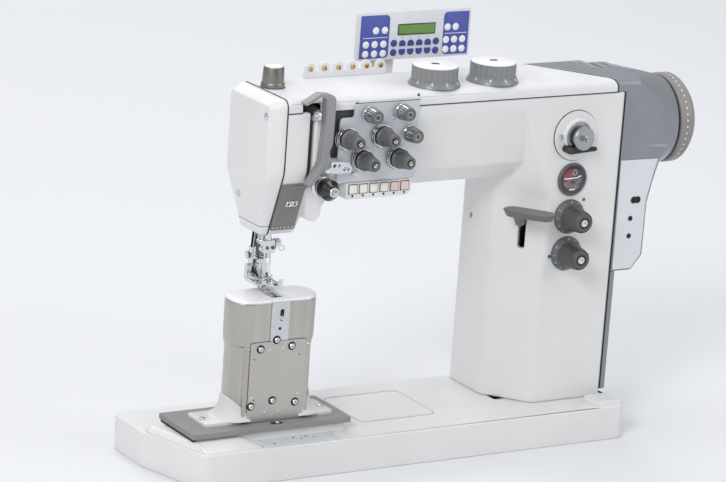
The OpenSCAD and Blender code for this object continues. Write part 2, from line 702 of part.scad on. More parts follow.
// Covers of the arm and head
top_x1 = column_x1 - 12;
top_seam_back = column_x + 60;
top_points = [
    [front_y, seam_z, 0], [arm_back, seam_z, 0], [arm_back, top_z, 12], [front_y, top_z, 11]
];
module top_plan(x1_front, x1_back) polygon([
    [seam_x, front_y - 1], [x1_front, front_y - 1], [x1_back, arm_back + 1], [seam_x, arm_back + 1]]);
module top_cover() color(cover_white) difference() {
    intersection() {
        x_prism(seam_x, column_x1) polygon(soft(top_points));
        z_prism(seam_z, top_z) top_plan(top_x1, top_seam_back);
    }
    intersection() {
        x_prism(seam_x - 1, column_x1) polygon([
            [front_y + cover_wall, seam_z - 1], [arm_back - cover_wall, seam_z - 1],
            [arm_back - cover_wall, top_z - cover_wall - 9],
            [arm_back - cover_wall - 9, top_z - cover_wall],
            [front_y + cover_wall + 8, top_z - cover_wall],
            [front_y + cover_wall, top_z - cover_wall - 8]]);
        translate([-cover_wall, 0, seam_z - 1]) linear_extrude(cover_h + 2)
            top_plan(top_x1, top_seam_back);
    }
    for (x = lift_dial_x) z_rod(x, lift_dial_y, top_z - cover_wall - 1, top_z + 1, dial_pin_r + run_gap);
    z_rod(knob_x, knob_y, top_z - cover_wall - 1, top_z + 1, dial_pin_r + run_gap);
    span([slot_x - 16, front_y - 1, seam_z - 1], [slot_x + 10, front_y + cover_wall + 5, seam_z + 11]);
}

face_x0 = seam_x - face_t;
face_rim = 9;
face_low_z = taper_z - 20;
face_points = [
    [front_y, top_z, 11], [front_y, taper_z, 40], [head_foot_front, head_z, 6],
    [head_foot_back, head_z, 6], [arm_back, taper_z, 40], [arm_back, top_z, 12]
];
face_flat = [
    [front_y + face_rim, top_z - face_rim, 5], [front_y + face_rim, face_low_z, 12],
    [arm_back - face_rim, face_low_z, 12], [arm_back - face_rim, top_z - face_rim, 5]
];
face_foot = [
    [head_foot_front + 3, head_z + 3], [head_foot_back - 3, head_z + 3],
    [head_foot_back - 3, head_z + 8], [head_foot_front + 3, head_z + 8]
];
face_lean = -atan2(face_t - 12, face_low_z - head_z - 3);
face_screw_drop = 22;
module face_cover() color(cast_white) difference() {
    hull() {
        x_prism(seam_x - 8, seam_x) polygon(soft(face_points));
        x_prism(face_x0, face_x0 + 1) polygon(soft(face_flat));
        x_prism(seam_x - 12, seam_x - 8) polygon(face_foot);
    }
    x_prism(seam_x - face_t + 4, seam_x + 1) polygon([
        [front_y + 16, top_z - 16], [front_y + 16, taper_z + 4], [front_y + 34, taper_z - 30],
        [arm_back - 34, taper_z - 30], [arm_back - 16, taper_z + 4], [arm_back - 16, top_z - 16]]);
}

// The taper's slope in front, from the upright side to the head's foot
function taper_y(z) = front_y + (head_foot_front - front_y) * (taper_z - z) / (taper_z - head_z);
taper_normal = unit([-(taper_z - head_z), -(head_foot_front - front_y)]);
head_plate_t = 2.5;
head_plate_z0 = head_z + 8;
head_plate_z1 = taper_z - 14;
module head_plate() color(knob_grey) {
    low = [taper_y(head_plate_z0), head_plate_z0];
    high = [taper_y(head_plate_z1), head_plate_z1];
    x_prism(seam_x + 1, seam_x + 35)
        polygon([low, low + taper_normal * head_plate_t, high + taper_normal * head_plate_t, high]);
}

// Take-up lever and its guard
guard_d = 14;
guard_points = [
    [16, 15, 1], [37, 27, 6], [60, 24, 9], [59.5, -38, 25], [43, -79, 12], [30, -93, 1],
    [27, -90, 1], [44, -63, 20], [47.3, -20, 20], [47, 20, 5], [38, 22.5, 4], [18, 12, 1]
];
module take_up_guard() color(motor_grey) translate([seam_x, 0, seam_z])
    y_prism(front_y - guard_d, front_y) polygon(soft(guard_points));

module take_up_lever() color(chrome) {
    arm_len = norm(take_up_reach);
    translate([slot_x, take_up_y, take_up_z])
        rotate([-atan2(take_up_reach[1], -take_up_reach[0]), 0, 0]) {
        difference() {
            union() {
                x_prism(-lever_t / 2, lever_t / 2) polygon([
                    [6, -5], [6, 5], [-arm_len + 6, 3], [-arm_len + 6, -3]]);
                x_rod(-lever_t / 2, lever_t / 2, 0, 0, 8);
                x_rod(-lever_t / 2, lever_t / 2, -arm_len, 0, 7);
            }
            x_rod(-lever_t, lever_t, -arm_len, 0, 3);
        }
        x_rod(-lever_t / 2 - 4, 9, 0, 0, take_up_pin_r);
    }
}

module thread_guides() color(chrome) {
    plate_mid = [taper_y(head_plate_z0 + 26), head_plate_z0 + 26] + taper_normal * head_plate_t;
    along = [taper_normal[1], -taper_normal[0]];
    difference() {
        x_prism(seam_x + 12, seam_x + 26) polygon([
            plate_mid - along * 4, plate_mid - along * 4 + taper_normal * 2,
            plate_mid + along * 4 + taper_normal * 2, plate_mid + along * 4]);
        for (dx = [16, 22]) y_rod(seam_x + dx, head_plate_z0 + 26, plate_mid[0] - 12,
            plate_mid[0] + 12, 1.6);
    }
    difference() {
        span([tension_x0 - 12, tension_y - 12, tension_z0 + 17],
            [tension_x0 + 16, tension_y - 9, tension_z0 + 28]);
        for (dx = [-7, -1, 5, 11])
            y_rod(tension_x0 + dx, tension_z0 + 22.5, tension_y - 13, tension_y - 8, 2);
    }
    span([tension_x0 + 4, tension_y - 10, tension_z0 + 17],
        [tension_x0 + 16, tension_y, tension_z0 + 20]);
}

// Tension plate with its units
tension_notch = 20;
module tension_plate() color(plate_grey) y_prism(tension_y, front_y) polygon(soft([
    [tension_x0, tension_z0, 4], [tension_x1, tension_z0, 3], [tension_x1, tension_z1, 3],
    [tension_x0 + tension_notch, tension_z1, 2], [tension_x0 + tension_notch, tension_z1 - 17, 3],
    [tension_x0, tension_z1 - 17, 5]]));

disc_len = 11;
module tension_discs() color(chrome) {
    for (p = big_tensions) front_turned(tension_x0 + p[0], tension_z0 + p[1], tension_y) polygon([
        [0, 0], [8, 0], [8, 2], [tension_disc_r, 2], [tension_disc_r, 3.6], [5, 5], [5, 6],
        [tension_disc_r, 7.4], [tension_disc_r, 9], [8, 9], [8, disc_len - gap],
        [tension_stud_r, disc_len - gap],
        [tension_stud_r, tension_len], [0, tension_len]]);
    for (p = small_tensions) front_turned(tension_x0 + p[0], tension_z0 + p[1], tension_y) polygon([
        [0, 0], [6, 0], [6, 3], [10.5, 3], [10.5, 6], [9.5, 7], [9.5, 12], [8, 24], [3, 24], [3, 23],
        [0, 23]]);
}

module tension_knob(i) color(knob_grey)
    front_turned(tension_x0 + big_tensions[i][0], tension_z0 + big_tensions[i][1], tension_y) polygon([
        [tension_stud_r + run_gap, disc_len], [12.5, disc_len], [12.5, disc_len + 3],
        [11.5, disc_len + 4],
        [8.5, tension_len - 1], [7.5, tension_len], [tension_stud_r + run_gap, tension_len]]);
module tension_knob_1() tension_knob(0);
module tension_knob_2() tension_knob(1);
module tension_knob_3() tension_knob(2);
module tension_knob_4() tension_knob(3);

module winder_tension_knob() color(dark) front_turned(winder_knob_x, winder_knob_z, front_y) polygon([
    [0, -17], [tension_stud_r - run_gap, -17], [tension_stud_r - run_gap, gap], [14, gap], [14, 2.3],
    [9, 4],
    [9, 6], [13.5, 8], [13.5, 22], [8, 30], [5.5, 30], [5.5, 32], [0, 32]]);

// Button bar on the arm's lower bevel
function bevel_at(z) = front_y + plain_bevel_y * (bevel_z - z) / (bevel_z - under_z);
bar_z0 = under_z - 1;
bar_z1 = tension_z0 - gap;
button_z = bar_z0 + 13;
button_y = bar_y - 1.6;
pocket = button_side + 2 * gap;
pocket_depth = button_travel + 2.4;
function button_x(i) = bar_x0 + 10 + i * button_pitch;
module button_bar() color(panel_white) difference() {
    intersection() {
        x_prism(bar_x0, bar_x1) polygon([
            [bar_y, bar_z0], [bevel_at(under_z), bar_z0], [bevel_at(under_z), under_z],
            [bevel_at(bar_z1), bar_z1], [bar_y, bar_z1]]);
        y_prism(bar_y - 1, arm_back) polygon(soft([
            [bar_x0, bar_z0, 2], [bar_x1, bar_z0, 8], [bar_x1, bar_z1, 3], [bar_x0, bar_z1, 2]]));
    }
    for (i = [0 : 5]) {
        translate([button_x(i), bar_y, button_z])
            span([-pocket / 2, -1, -pocket / 2], [pocket / 2, pocket_depth, pocket / 2]);
        y_rod(button_x(i), bar_z0 + 4, bar_y - 1, bar_y + 1.5, 1.1);
    }
}
module push_button(i) color(cream) translate([button_x(i), button_y, button_z])
    y_prism(0, 1.6 + pocket_depth - button_travel - gap)
        polygon(soft_box(button_side, button_side, 1.2, 3));
module push_button_1() push_button(0);
module push_button_2() push_button(1);
module push_button_3() push_button(2);
module push_button_4() push_button(3);
module push_button_5() push_button(4);
module push_button_6() push_button(5);

// Bobbin winder
winder_t = 2.5;
spindle_r = 3;
spindle_len = 9;
module winder_plate() color(steel) difference() {
    y_rod(control_x, winder_z, front_y - winder_t, front_y, winder_plate_r);
    y_rod(control_x, winder_z, front_y - winder_t - 1, front_y + 1, dial_pin_r + run_gap);
}
wheel_y0 = winder_t + gap;
module winder_wheel() color(chrome) front_turned(control_x, winder_z, front_y) polygon([
    [0, -cast_wall], [dial_pin_r, -cast_wall], [dial_pin_r, wheel_y0], [winder_wheel_r, wheel_y0],
    [winder_wheel_r, wheel_y0 + 9], [10, wheel_y0 + 10], [10, wheel_y0 + 14],
    [winder_wheel_r - 2, wheel_y0 + 15], [winder_wheel_r - 2, wheel_y0 + 19], [spindle_r, wheel_y0 + 19],
    [spindle_r, wheel_y0 + 19 + spindle_len], [0, wheel_y0 + 19 + spindle_len]]);

winder_lever_x = control_x - 16;
winder_lever_z = winder_z - 16;
winder_lever_y = front_y - wheel_y0 - 10.5;
module winder_lever() color(dark) {
    y_rod(winder_lever_x, winder_lever_z, winder_lever_y - 3, front_y - winder_t - gap, 5);
    hull() for (p = [[0, 5], [38, 3]])
        y_rod(winder_lever_x + p[0], winder_lever_z, winder_lever_y - 3, winder_lever_y, p[1], $fn = 20);
}

// Oil gauge and stitch dials
module gauge() color(dark) front_turned(control_x, gauge_z, front_y) polygon([
    [0, 0], [gauge_r, 0], [gauge_r, 2.5], [gauge_r - 1, 3.5], [gauge_r - 2.5, 3.5], [gauge_r - 3, 2],
    [0, 2]]);

module stitch_dial(z) color(knob_grey) front_turned(control_x, z, front_y) polygon([
    [0, -cast_wall], [dial_pin_r, -cast_wall], [dial_pin_r, gap], [dial_ring_r, gap], [dial_ring_r, 3],
    [dial_ring_r - 5, 8], [dial_ring_r - 6, 8], [dial_ring_r - 7, 10], [dial_ring_r - 10, dial_len - 2],
    [dial_ring_r - 12, dial_len], [7, dial_len], [7, dial_len - 2], [0, dial_len - 2]]);
module stitch_dial_upper() stitch_dial(dial_upper_z);
module stitch_dial_lower() stitch_dial(dial_lower_z);

// Reverse lever: an oval paddle on an arm through the slot in the chamfer
paddle_d = 30;
paddle_t = 9;
paddle_shift = 19;
paddle_rise = 19;
lever_reach = 34;
lever_crank = 14;
module reverse_lever() color(knob_grey) at_chamfer(lever_z) {
    span([-lever_slot_w / 2 + 0.6, -lever_crank, -lever_arm_h / 2],
         [lever_slot_w / 2 - 0.6, lever_pivot, lever_arm_h / 2]);
    x_prism(-lever_slot_w / 2 + 0.6, lever_slot_w / 2 - 0.6) polygon([
        [-lever_crank + 8, -lever_arm_h / 2], [-lever_crank + 8, lever_arm_h / 2],
        [-lever_reach + 10, paddle_rise],
        [-lever_reach - 4, paddle_rise], [-lever_crank, -lever_arm_h / 2]]);
    x_rod(-9, 9, lever_pivot, 0, 5);
    translate([paddle_shift, -lever_reach, paddle_rise]) hull()
        for (z = [-paddle_t / 2, paddle_t / 2 - 1])
        for (side = [-1, 1]) translate([side * (paddle_len - paddle_d) / 2, 0, z])
            cylinder(h = 1, r = paddle_d / 2 - (z < 0 ? 4 : 0), $fn = 32);
}

// Motor cover with its front panel
motor_r = wheel_r - 1;
motor_front = front_y;
motor_low_z = under_z - 129;
motor_gap = gap;
lower_panel = [
    [column_x1 + 3, motor_low_z], [column_x1 + 32, motor_low_z], [column_x1 + 46, motor_low_z + 18],
    [column_x1 + 47, motor_low_z + 92], [column_x1 + 53, motor_low_z + 119],
    [column_x1 + 61, motor_low_z + 148],
    [column_x1 + 2, motor_low_z + 149]
];
lower_body = [
    [column_x1, motor_low_z - 3], [column_x1 + 34, motor_low_z - 3], [column_x1 + 50, motor_low_z + 16],
    [column_x1 + 51, motor_low_z + 90], [column_x1 + 57, motor_low_z + 117],
    [column_x1 + 66, motor_low_z + 148],
    [column_x1 + 80, motor_low_z + 165], [column_x1, motor_low_z + 165]
];
motor_back = arm_back - 4;
vent_count = 5;
module motor_cover() color(motor_grey) difference() {
    union() {
        hull() {
            x_prism(column_x1, column_x1 + 24) polygon(soft([
                [motor_front, under_z - 6, 4], [motor_back, under_z - 6, 20], [motor_back, top_z + 2, 26],
                [motor_front, top_z + 1, 13]], 5));
            x_rod(motor_x1 - 6, motor_x1, shaft_y, shaft_z, motor_r);
        }
        y_prism(motor_front, motor_back - 30) polygon(lower_body);
        intersection() {
            x_prism(top_seam_back - 20, column_x1) polygon(soft([
                [motor_front, seam_z, 0], [motor_back + 4, seam_z, 0], [motor_back + 4, top_z + 1, 12],
                [motor_front, top_z + 1, 11]]));
            z_prism(seam_z, top_z + 2) polygon([
                [top_x1 + gap, front_y - 1], [column_x1 + 1, front_y - 1], [column_x1 + 1, arm_back + 1],
                [top_seam_back + gap, arm_back + 1]]);
        }
    }
    x_rod(column_x1 - 1, motor_x1 + 1, shaft_y, shaft_z, shaft_r + gap);
    for (i = [0 : vent_count - 1])
        translate([column_x1 - 14 + 14 * i, motor_back - 52, top_z - 14]) cube([5, 38, 30]);
}

motor_panel_t = 2;
module motor_panel() color(panel_white) difference() {
    y_prism(front_y - motor_panel_t, front_y) polygon(lower_panel);
    for (p = [[27, 94, 4], [33, 94, 4], [24, 69, 2.6], [24, 45, 2.6]])
        y_rod(column_x1 + p[0], motor_low_z + p[1], front_y - motor_panel_t - 1, front_y + 1, p[2]);
}

module handwheel() color(motor_grey)
    translate([motor_x1 + wheel_gap, shaft_y, shaft_z]) rotate([0, 90, 0]) rotate_extrude() polygon(soft([
        [shaft_r + run_gap, 0, 0], [wheel_r - 2, 0, 1], [wheel_r, 2, 1], [wheel_r, wheel_w - 8, 5],
        [wheel_r - 8, wheel_w, 5],
        [wheel_r - 18, wheel_w, 2], [wheel_r - 22, wheel_w - 6, 2], [shaft_r + 10, wheel_w - 6, 2],
        [shaft_r + 8, wheel_w - 2, 1], [shaft_r + run_gap, wheel_w - 2, 0]]));

module side_cover() color(motor_grey) y_prism(front_y + 1, column_back - 30) polygon(soft([
    [column_x1, bed_h + 9, 0], [column_x1 + 9, bed_h + 9, 2], [column_x1 + 9, motor_low_z - 3 - gap, 0],
    [column_x1, motor_low_z - 3 - gap, 0]], 3));

// On top of the arm
rail_t = 4;
rail_h = 15;
module thread_guide_rail() color(cover_white) difference() {
    y_prism(rail_y, rail_y + rail_t) union() {
        translate([rail_x0, top_z]) square([5 * rail_pitch + 18, rail_h - 6]);
        for (i = [0 : 5]) translate([rail_x0 + 9 + i * rail_pitch, top_z + rail_h - 3]) circle(7.5);
        for (i = [0 : 5]) translate([rail_x0 + 9 + i * rail_pitch - 7.5, top_z]) square([15, rail_h - 3]);
    }
    for (i = [0 : 5]) y_rod(rail_x0 + 9 + i * rail_pitch, top_z + rail_h - 3, rail_y - 1,
        rail_y + rail_t + 1, 2);
}

module panel_bracket() color(cover_white) {
    span([panel_x0 + 24, arm_back, seam_z - 26], [panel_x0 + 64, panel_y + panel_t + 5, seam_z - 18]);
    span([panel_x0 + 24, panel_y + panel_t, seam_z - 19],
        [panel_x0 + 64, panel_y + panel_t + 5, panel_z0 + panel_h - 16]);
}

module control_panel() color(panel_white) difference() {
    y_prism(panel_y, panel_y + panel_t) polygon(soft([
        [panel_x0, panel_z0, 3], [panel_x0 + panel_w, panel_z0, 3],
        [panel_x0 + panel_w, panel_z0 + panel_h, 3],
        [panel_x0, panel_z0 + panel_h, 3]], 3));
    span([panel_x0 + 61, panel_y - 1, panel_z0 + 32.6], [panel_x0 + 116, panel_y + 0.8, panel_z0 + 45.8]);
}

module lift_dial(x) color(knob_grey) translate([x, lift_dial_y, top_z]) {
    rotate_extrude() polygon([
        [0, -cover_wall - 6], [dial_pin_r, -cover_wall - 6], [dial_pin_r, gap], [lift_dial_r, gap],
        [lift_dial_r - 1, 3], [lift_dial_r - 4, 8], [lift_dial_r - 5.5, 9], [0, 9]]);
    translate([0, 0, 8]) linear_extrude(lift_dial_h - 9) polygon(fluted(lift_dial_r - 4, 1.4, 24));
    translate([0, 0, lift_dial_h - 2]) rotate_extrude()
        polygon([[0, 0], [lift_dial_r - 6, 0], [lift_dial_r - 8, 2], [0, 2]]);
}
module lift_dial_left() lift_dial(lift_dial_x[0]);
module lift_dial_right() lift_dial(lift_dial_x[1]);

module pressure_knob() color(knob_grey) translate([knob_x, knob_y, top_z]) {
    rotate_extrude() polygon([
        [0, -cover_wall - 5], [dial_pin_r, -cover_wall - 5], [dial_pin_r, gap],
        [pressure_knob_r + 1, gap],
        [pressure_knob_r, 6], [0, 6]]);
    translate([0, 0, 5]) linear_extrude(pressure_knob_h - 7)
        polygon(fluted(pressure_knob_r - 0.5, 1.2, 14));
    translate([0, 0, pressure_knob_h - 3]) rotate_extrude()
        polygon([[0, 0], [pressure_knob_r - 1.5, 0], [pressure_knob_r - 3, 3], [0, 3]]);
}

// Needle bar with its clamp and two needles
needle_tip = post_top + needle_lift;
clamp_z0 = needle_tip + 40;
clamp_h = 16;
module needle() {
    translate([0, 0, needle_tip]) cylinder(h = 3, r1 = 0.15, r2 = 0.7);
    z_rod(0, 0, needle_tip + 3, needle_tip + 25, 0.7);
    z_rod(0, 0, needle_tip + 24, clamp_z0 + 1, 1.1);
}
module needle_bar() color(chrome) {
    z_rod(needle_x, needle_y, clamp_z0 + clamp_h - 1, bars_top, needle_bar_r);
    translate([needle_x, needle_y, clamp_z0]) linear_extrude(clamp_h)
        polygon(soft_box(needle_gap + 8, 11, 2));
    for (side = [-1, 1]) {
        translate([needle_x + side * needle_gap / 2, needle_y, 0]) needle();
        x_rod(needle_x + side * (needle_gap / 2 + 5.5) - 2, needle_x + side * (needle_gap / 2 + 5.5) + 2,
              needle_y, clamp_z0 + 5, 2.6);
    }
}

// Feet: the inner foot steps under the needles, and the presser foot stands round it
foot_t = 4;
inner_w = needle_gap + 8;
module walking_bar() color(chrome) difference() {
    union() {
        z_rod(needle_x, walking_y, foot_z + 26, bars_top, walking_bar_r);
        span([needle_x - 5, walking_y - 3, foot_z], [needle_x + 5, walking_y + 4, foot_z + 30]);
        translate([needle_x, needle_y + 1, foot_z]) linear_extrude(foot_t)
            polygon(soft_box(inner_w, 22, 3));
    }
    for (side = [-1, 1]) hull() for (dy = [-2, 2])
        z_rod(needle_x + side * needle_gap / 2, needle_y + dy, foot_z - 1, foot_z + foot_t + 1,
            needle_hole_r);
}

toe_w = 6;
toe_x = inner_w / 2 + 1;
module presser_bar() color(chrome) {
    z_rod(needle_x, presser_y, foot_z + 34, bars_top, presser_bar_r);
    span([needle_x - 8, presser_y - 5, foot_z + 20], [needle_x + 8, presser_y + 7, foot_z + 44]);
    span([needle_x - toe_x - toe_w, presser_y - 4, foot_z + 2],
        [needle_x + toe_x + toe_w, presser_y + 3, foot_z + 21]);
    for (side = [-1, 1]) hull() {
        span_toe(side, needle_y - 12, 3);
        span_toe(side, presser_y - 4, 6);
    }
    x_rod(needle_x + 8, needle_x + 14, presser_y + 1, foot_z + 32, 4);
}
module span_toe(side, y, h) translate([needle_x + side * (toe_x + toe_w / 2) - toe_w / 2, y, foot_z])
    cube([toe_w, 4, h]);

// Slotted screw heads, each lying on the face that it fastens
module screw_head(r) difference() {
    cylinder(h = 2, r1 = r, r2 = r - 0.6);
    translate([0, 0, 2]) cube([2 * r + 1, 1, 1.6], center = true);
}
module front_screw(x, z, y, r, turn = 30) translate([x, y, z]) rotate([90, 0, 0])
    rotate([0, 0, turn]) screw_head(r);
module screws() color(chrome) {
    for (p = [[-21, 93], [22, 94], [-33, 18], [32, 20], [-2, 24]])
        front_screw(post_x + p[0], post_z + p[1], panel_face, 3.2, 37 * p[0]);
    front_screw(post_x, shoulder_z + 1, panel_face, 3.2, 10);
    for (side = [-1, 1]) translate([post_x - 4 + side * (flange_len / 2 - 6.5), post_y - 4,
        post_z + flange_t])
        screw_head(4);
    front_screw(tension_x0 + 27, tension_z0 + 10, tension_y, 3);
    front_screw(control_x - 25, winder_z, front_y - winder_t, 3.2);
    translate([face_x0, front_y + 15, top_z - 22]) rotate([0, -90, 0]) screw_head(4.5);
    translate([face_x0, arm_back - 39, face_low_z]) rotate([0, face_lean, 0])
        translate([0, 0, -face_screw_drop]) rotate([0, -90, 0]) screw_head(4.5);
}

bed_casting();
bed_end_cover();
slide_plate();
rubber_plate();
post_flange();
post_housing();
post_panel();
post_strip();
screws();
throat_plate();
hook_cover_left();
hook_cover_right();
feed_dog();
hook_left();
hook_right();
bobbins();
lower_shaft();
drive_belt();
arm_casting();
top_cover();
face_cover();
head_plate();
take_up_guard();
take_up_lever();
thread_guides();
tension_plate();
tension_discs();
tension_knob_1();
tension_knob_2();
tension_knob_3();
tension_knob_4();
winder_tension_knob();
button_bar();
push_button_1();
push_button_2();
push_button_3();
push_button_4();
push_button_5();
push_button_6();
winder_plate();
winder_wheel();
winder_lever();
gauge();
stitch_dial_upper();
stitch_dial_lower();
reverse_lever();
motor_cover();
motor_panel();
main_shaft();
handwheel();
thread_guide_rail();
control_panel();
panel_bracket();
lift_dial_left();
lift_dial_right();
pressure_knob();
side_cover();
needle_bar();
presser_bar();
walking_bar();
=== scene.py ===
import json
import math
import bpy
import bmesh
from mathutils import Matrix, Vector


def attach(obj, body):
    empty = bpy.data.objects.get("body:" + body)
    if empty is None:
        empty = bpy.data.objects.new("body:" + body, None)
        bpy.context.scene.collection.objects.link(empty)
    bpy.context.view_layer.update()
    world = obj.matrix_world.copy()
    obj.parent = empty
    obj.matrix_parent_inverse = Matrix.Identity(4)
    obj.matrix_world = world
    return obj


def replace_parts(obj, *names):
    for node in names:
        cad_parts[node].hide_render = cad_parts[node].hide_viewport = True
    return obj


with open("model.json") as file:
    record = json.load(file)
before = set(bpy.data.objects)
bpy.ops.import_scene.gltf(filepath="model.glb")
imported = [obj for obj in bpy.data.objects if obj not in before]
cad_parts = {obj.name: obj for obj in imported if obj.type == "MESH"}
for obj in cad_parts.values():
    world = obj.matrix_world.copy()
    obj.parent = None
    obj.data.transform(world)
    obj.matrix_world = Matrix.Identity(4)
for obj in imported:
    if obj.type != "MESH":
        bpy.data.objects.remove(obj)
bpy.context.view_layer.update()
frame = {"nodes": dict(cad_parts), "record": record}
nodes = frame["nodes"]
record = frame["record"]
scene = bpy.context.scene
scene.view_settings.view_transform = "Standard"
print("frame loaded:", len(nodes), "nodes")


def linked(name, data):
    made = bpy.data.objects.new(name, data)
    scene.collection.objects.link(made)
    return made


def settle(target, **settings):
    for key, value in settings.items():
        setattr(target, key, value)
    return target


# camera of the photograph: place and the directions of its right, down and forward axes
camera = {
    "place": (-2.37013, -3.78380, 1.48528),
    "right": (0.85885764, -0.50754747, 0.06898639),
    "down": (-0.0766725, -0.26055481, -0.96240975),
    "forward": (0.50644336, 0.82128361, -0.26269442),
    "lens": 178.512, "sensor": 36, "clip": (0.1, 60),
}


def setCamera(c):
    near, far = c["clip"]
    body = linked("camera", settle(bpy.data.cameras.new("camera"), lens=c["lens"], sensor_width=c["sensor"],
                                   sensor_fit="HORIZONTAL", clip_start=near, clip_end=far))
    right, down, forward = (Vector(c[k]) for k in ("right", "down", "forward"))
    turn = Matrix((right, -down, -forward)).transposed().to_4x4()
    body.matrix_world = Matrix.Translation(c["place"]) @ turn
    scene.camera = body


setCamera(camera)
print("camera set")


# shader expressions: a socket that can be used in sums and products
class Wire:
    def __init__(self, paint, socket):
        self.paint = paint
        self.socket = socket

    def math(self, kind, a, b=None):
        return self.paint.node("ShaderNodeMath", {"operation": kind}, a, b)

    def __add__(self, other):
        return self.math("ADD", self, other)

    def __radd__(self, other):
        return self.math("ADD", other, self)

    def __sub__(self, other):
        return self.math("SUBTRACT", self, other)

    def __rsub__(self, other):
        return self.math("SUBTRACT", other, self)

    def __mul__(self, other):
        return self.math("MULTIPLY", self, other)

    def __rmul__(self, other):
        return self.math("MULTIPLY", other, self)

    def __truediv__(self, other):
        return self.math("DIVIDE", self, other)

    def __rtruediv__(self, other):
        return self.math("DIVIDE", other, self)

    def __pow__(self, other):
        return self.math("POWER", self, other)

    def __lt__(self, other):
        return self.math("LESS_THAN", self, other)

    def __gt__(self, other):
        return self.math("GREATER_THAN", self, other)

    def absolute(self):
        return self.math("ABSOLUTE", self)

    def sine(self):
        return self.math("SINE", self)

    def remainder(self, other):
        return self.math("FLOORED_MODULO", self, other)

    # 0 below low, 1 above high
    def between(self, low, high):
        settings = {"interpolation_type": "SMOOTHSTEP"}
        return self.paint.node("ShaderNodeMapRange", settings, Value=self, **{"From Min": low, "From Max": high})


class Paint:
    def __init__(self, name, roughness=0.5, metallic=0.0, coat=0.0):
        self.material = bpy.data.materials.new(name)
        self.material.use_nodes = True
        self.tree = self.material.node_tree
        self.shader = self.tree.nodes["Principled BSDF"]
        start = {"Roughness": roughness, "Metallic": metallic, "Coat Weight": coat, "Coat Roughness": 0.12}
        for socket, value in start.items():
            self.give(socket, value)

    # joins a wire to a socket, or sets the socket's own value
    def feed(self, socket, value):
        if isinstance(value, Wire):
            self.tree.links.new(value.socket, socket)
        else:
            socket.default_value = (*value, 1) if socket.type == "RGBA" else value

    # any node: its type, its settings, then its inputs by place or by name
    def node(self, kind, settings, *places, out=0, **inputs):
        made = settle(self.tree.nodes.new(kind), **settings)
        for key, value in list(enumerate(places)) + list(inputs.items()):
            if value is not None:
                self.feed(made.inputs[key], value)
        return Wire(self, made.outputs[out])

    def place(self, scale=(1, 1, 1)):
        here = self.node("ShaderNodeTexCoord", {}, out="Object")
        if scale == (1, 1, 1):
            return here
        return self.node("ShaderNodeVectorMath", {"operation": "MULTIPLY"}, here, scale)

    def axes(self):
        here = self.place()
        return [self.node("ShaderNodeSeparateXYZ", {}, here, out=i) for i in range(3)]

    def noise(self, scale, detail=3, stretch=(1, 1, 1), rough=0.55):
        here = self.place(stretch)
        return self.node("ShaderNodeTexNoise", {}, Vector=here, Scale=scale, Detail=detail, Roughness=rough)

    def grains(self, scale):
        return self.node("ShaderNodeTexVoronoi", {}, Vector=self.place(), Scale=scale, out="Distance")

    # the colours are inputs 6 and 7 of this node
    def mix(self, mask, a, b):
        return self.node("ShaderNodeMix", {"data_type": "RGBA"}, mask, *[None] * 5, a, b, out=2)

    def give(self, socket, value):
        self.feed(self.shader.inputs[socket], value)

    def bump(self, height, strength, distance=0.0002):
        self.give("Normal", self.node("ShaderNodeBump", {}, Height=height, Strength=strength, Distance=distance))


def linear(*rgb):
    return tuple((v / 255 / 12.92) if v <= 10.3 else ((v / 255 + 0.055) / 1.055) ** 2.4 for v in rgb)


def shade(colour, k):
    return tuple(min(1, v * k) for v in colour)


# enamel on castings: fine orange peel, faint clouding and, where asked for, a dark line at a joint's height as painted
# shade of the parting groove
def enamel(name, rgb, roughness=0.44, peel=0.12, coat=0.12, joint=None):
    p = Paint(name, roughness, 0, coat)
    colour = linear(*rgb)
    cloud = p.noise(7, 4)
    fine = p.noise(420, 2)
    tone = p.mix(cloud.between(0.35, 0.7), shade(colour, 0.965), shade(colour, 1.02))
    tone = p.mix(fine.between(0.62, 0.8) * 0.25, tone, shade(colour, 0.9))
    if joint:
        x, y, z = p.axes()
        # near-black line at the joint's height: painted shade of the groove
        tone = p.mix((z - joint).absolute() < 0.00045, tone, shade(colour, 0.12))
    p.give("Base Color", tone)
    p.give("Roughness", roughness - 0.06 + cloud * 0.12)
    p.bump(p.noise(900, 2) + p.noise(260, 2) * 0.6, peel, 0.0004)
    return p.material


# moulded plastic: fine spark texture and a slight sheen variation
def moulded(name, rgb, roughness, grain, scale, coat=0.0):
    p = Paint(name, roughness, 0, coat)
    colour = linear(*rgb)
    cloud = p.noise(16, 3)
    spark = p.grains(scale)
    p.give("Base Color", p.mix(cloud.between(0.3, 0.7), shade(colour, 0.95), shade(colour, 1.03)))
    p.give("Roughness", roughness - 0.05 + cloud * 0.1 + spark * 0.05)
    p.bump(spark + p.noise(scale * 0.5, 2) * 0.5, grain, 0.00025)
    return p.material


# ground or brushed metal: hair lines along one axis
def brushed(name, rgb, roughness, along, lines, grain, metal=1.0, cloudy=0.08):
    p = Paint(name, roughness, metal)
    colour = linear(*rgb)
    hair = p.noise(grain, 3, along, 0.6)
    cloud = p.noise(22, 3)
    p.give("Base Color", p.mix(hair.between(0.3, 0.75), shade(colour, 0.9), shade(colour, 1.04)))
    p.give("Roughness", roughness - cloudy + cloud * cloudy * 2 + hair * 0.1)
    p.bump(hair, lines)
    return p.material


# polished metal with faint smears
def bright(name, rgb, roughness):
    p = Paint(name, roughness, 1.0)
    colour = linear(*rgb)
    smear = p.noise(60, 4)
    p.give("Base Color", p.mix(smear.between(0.4, 0.75), shade(colour, 0.94), colour))
    p.give("Roughness", roughness - 0.03 + smear * 0.1)
    p.bump(p.noise(700, 2), 0.04)
    return p.material


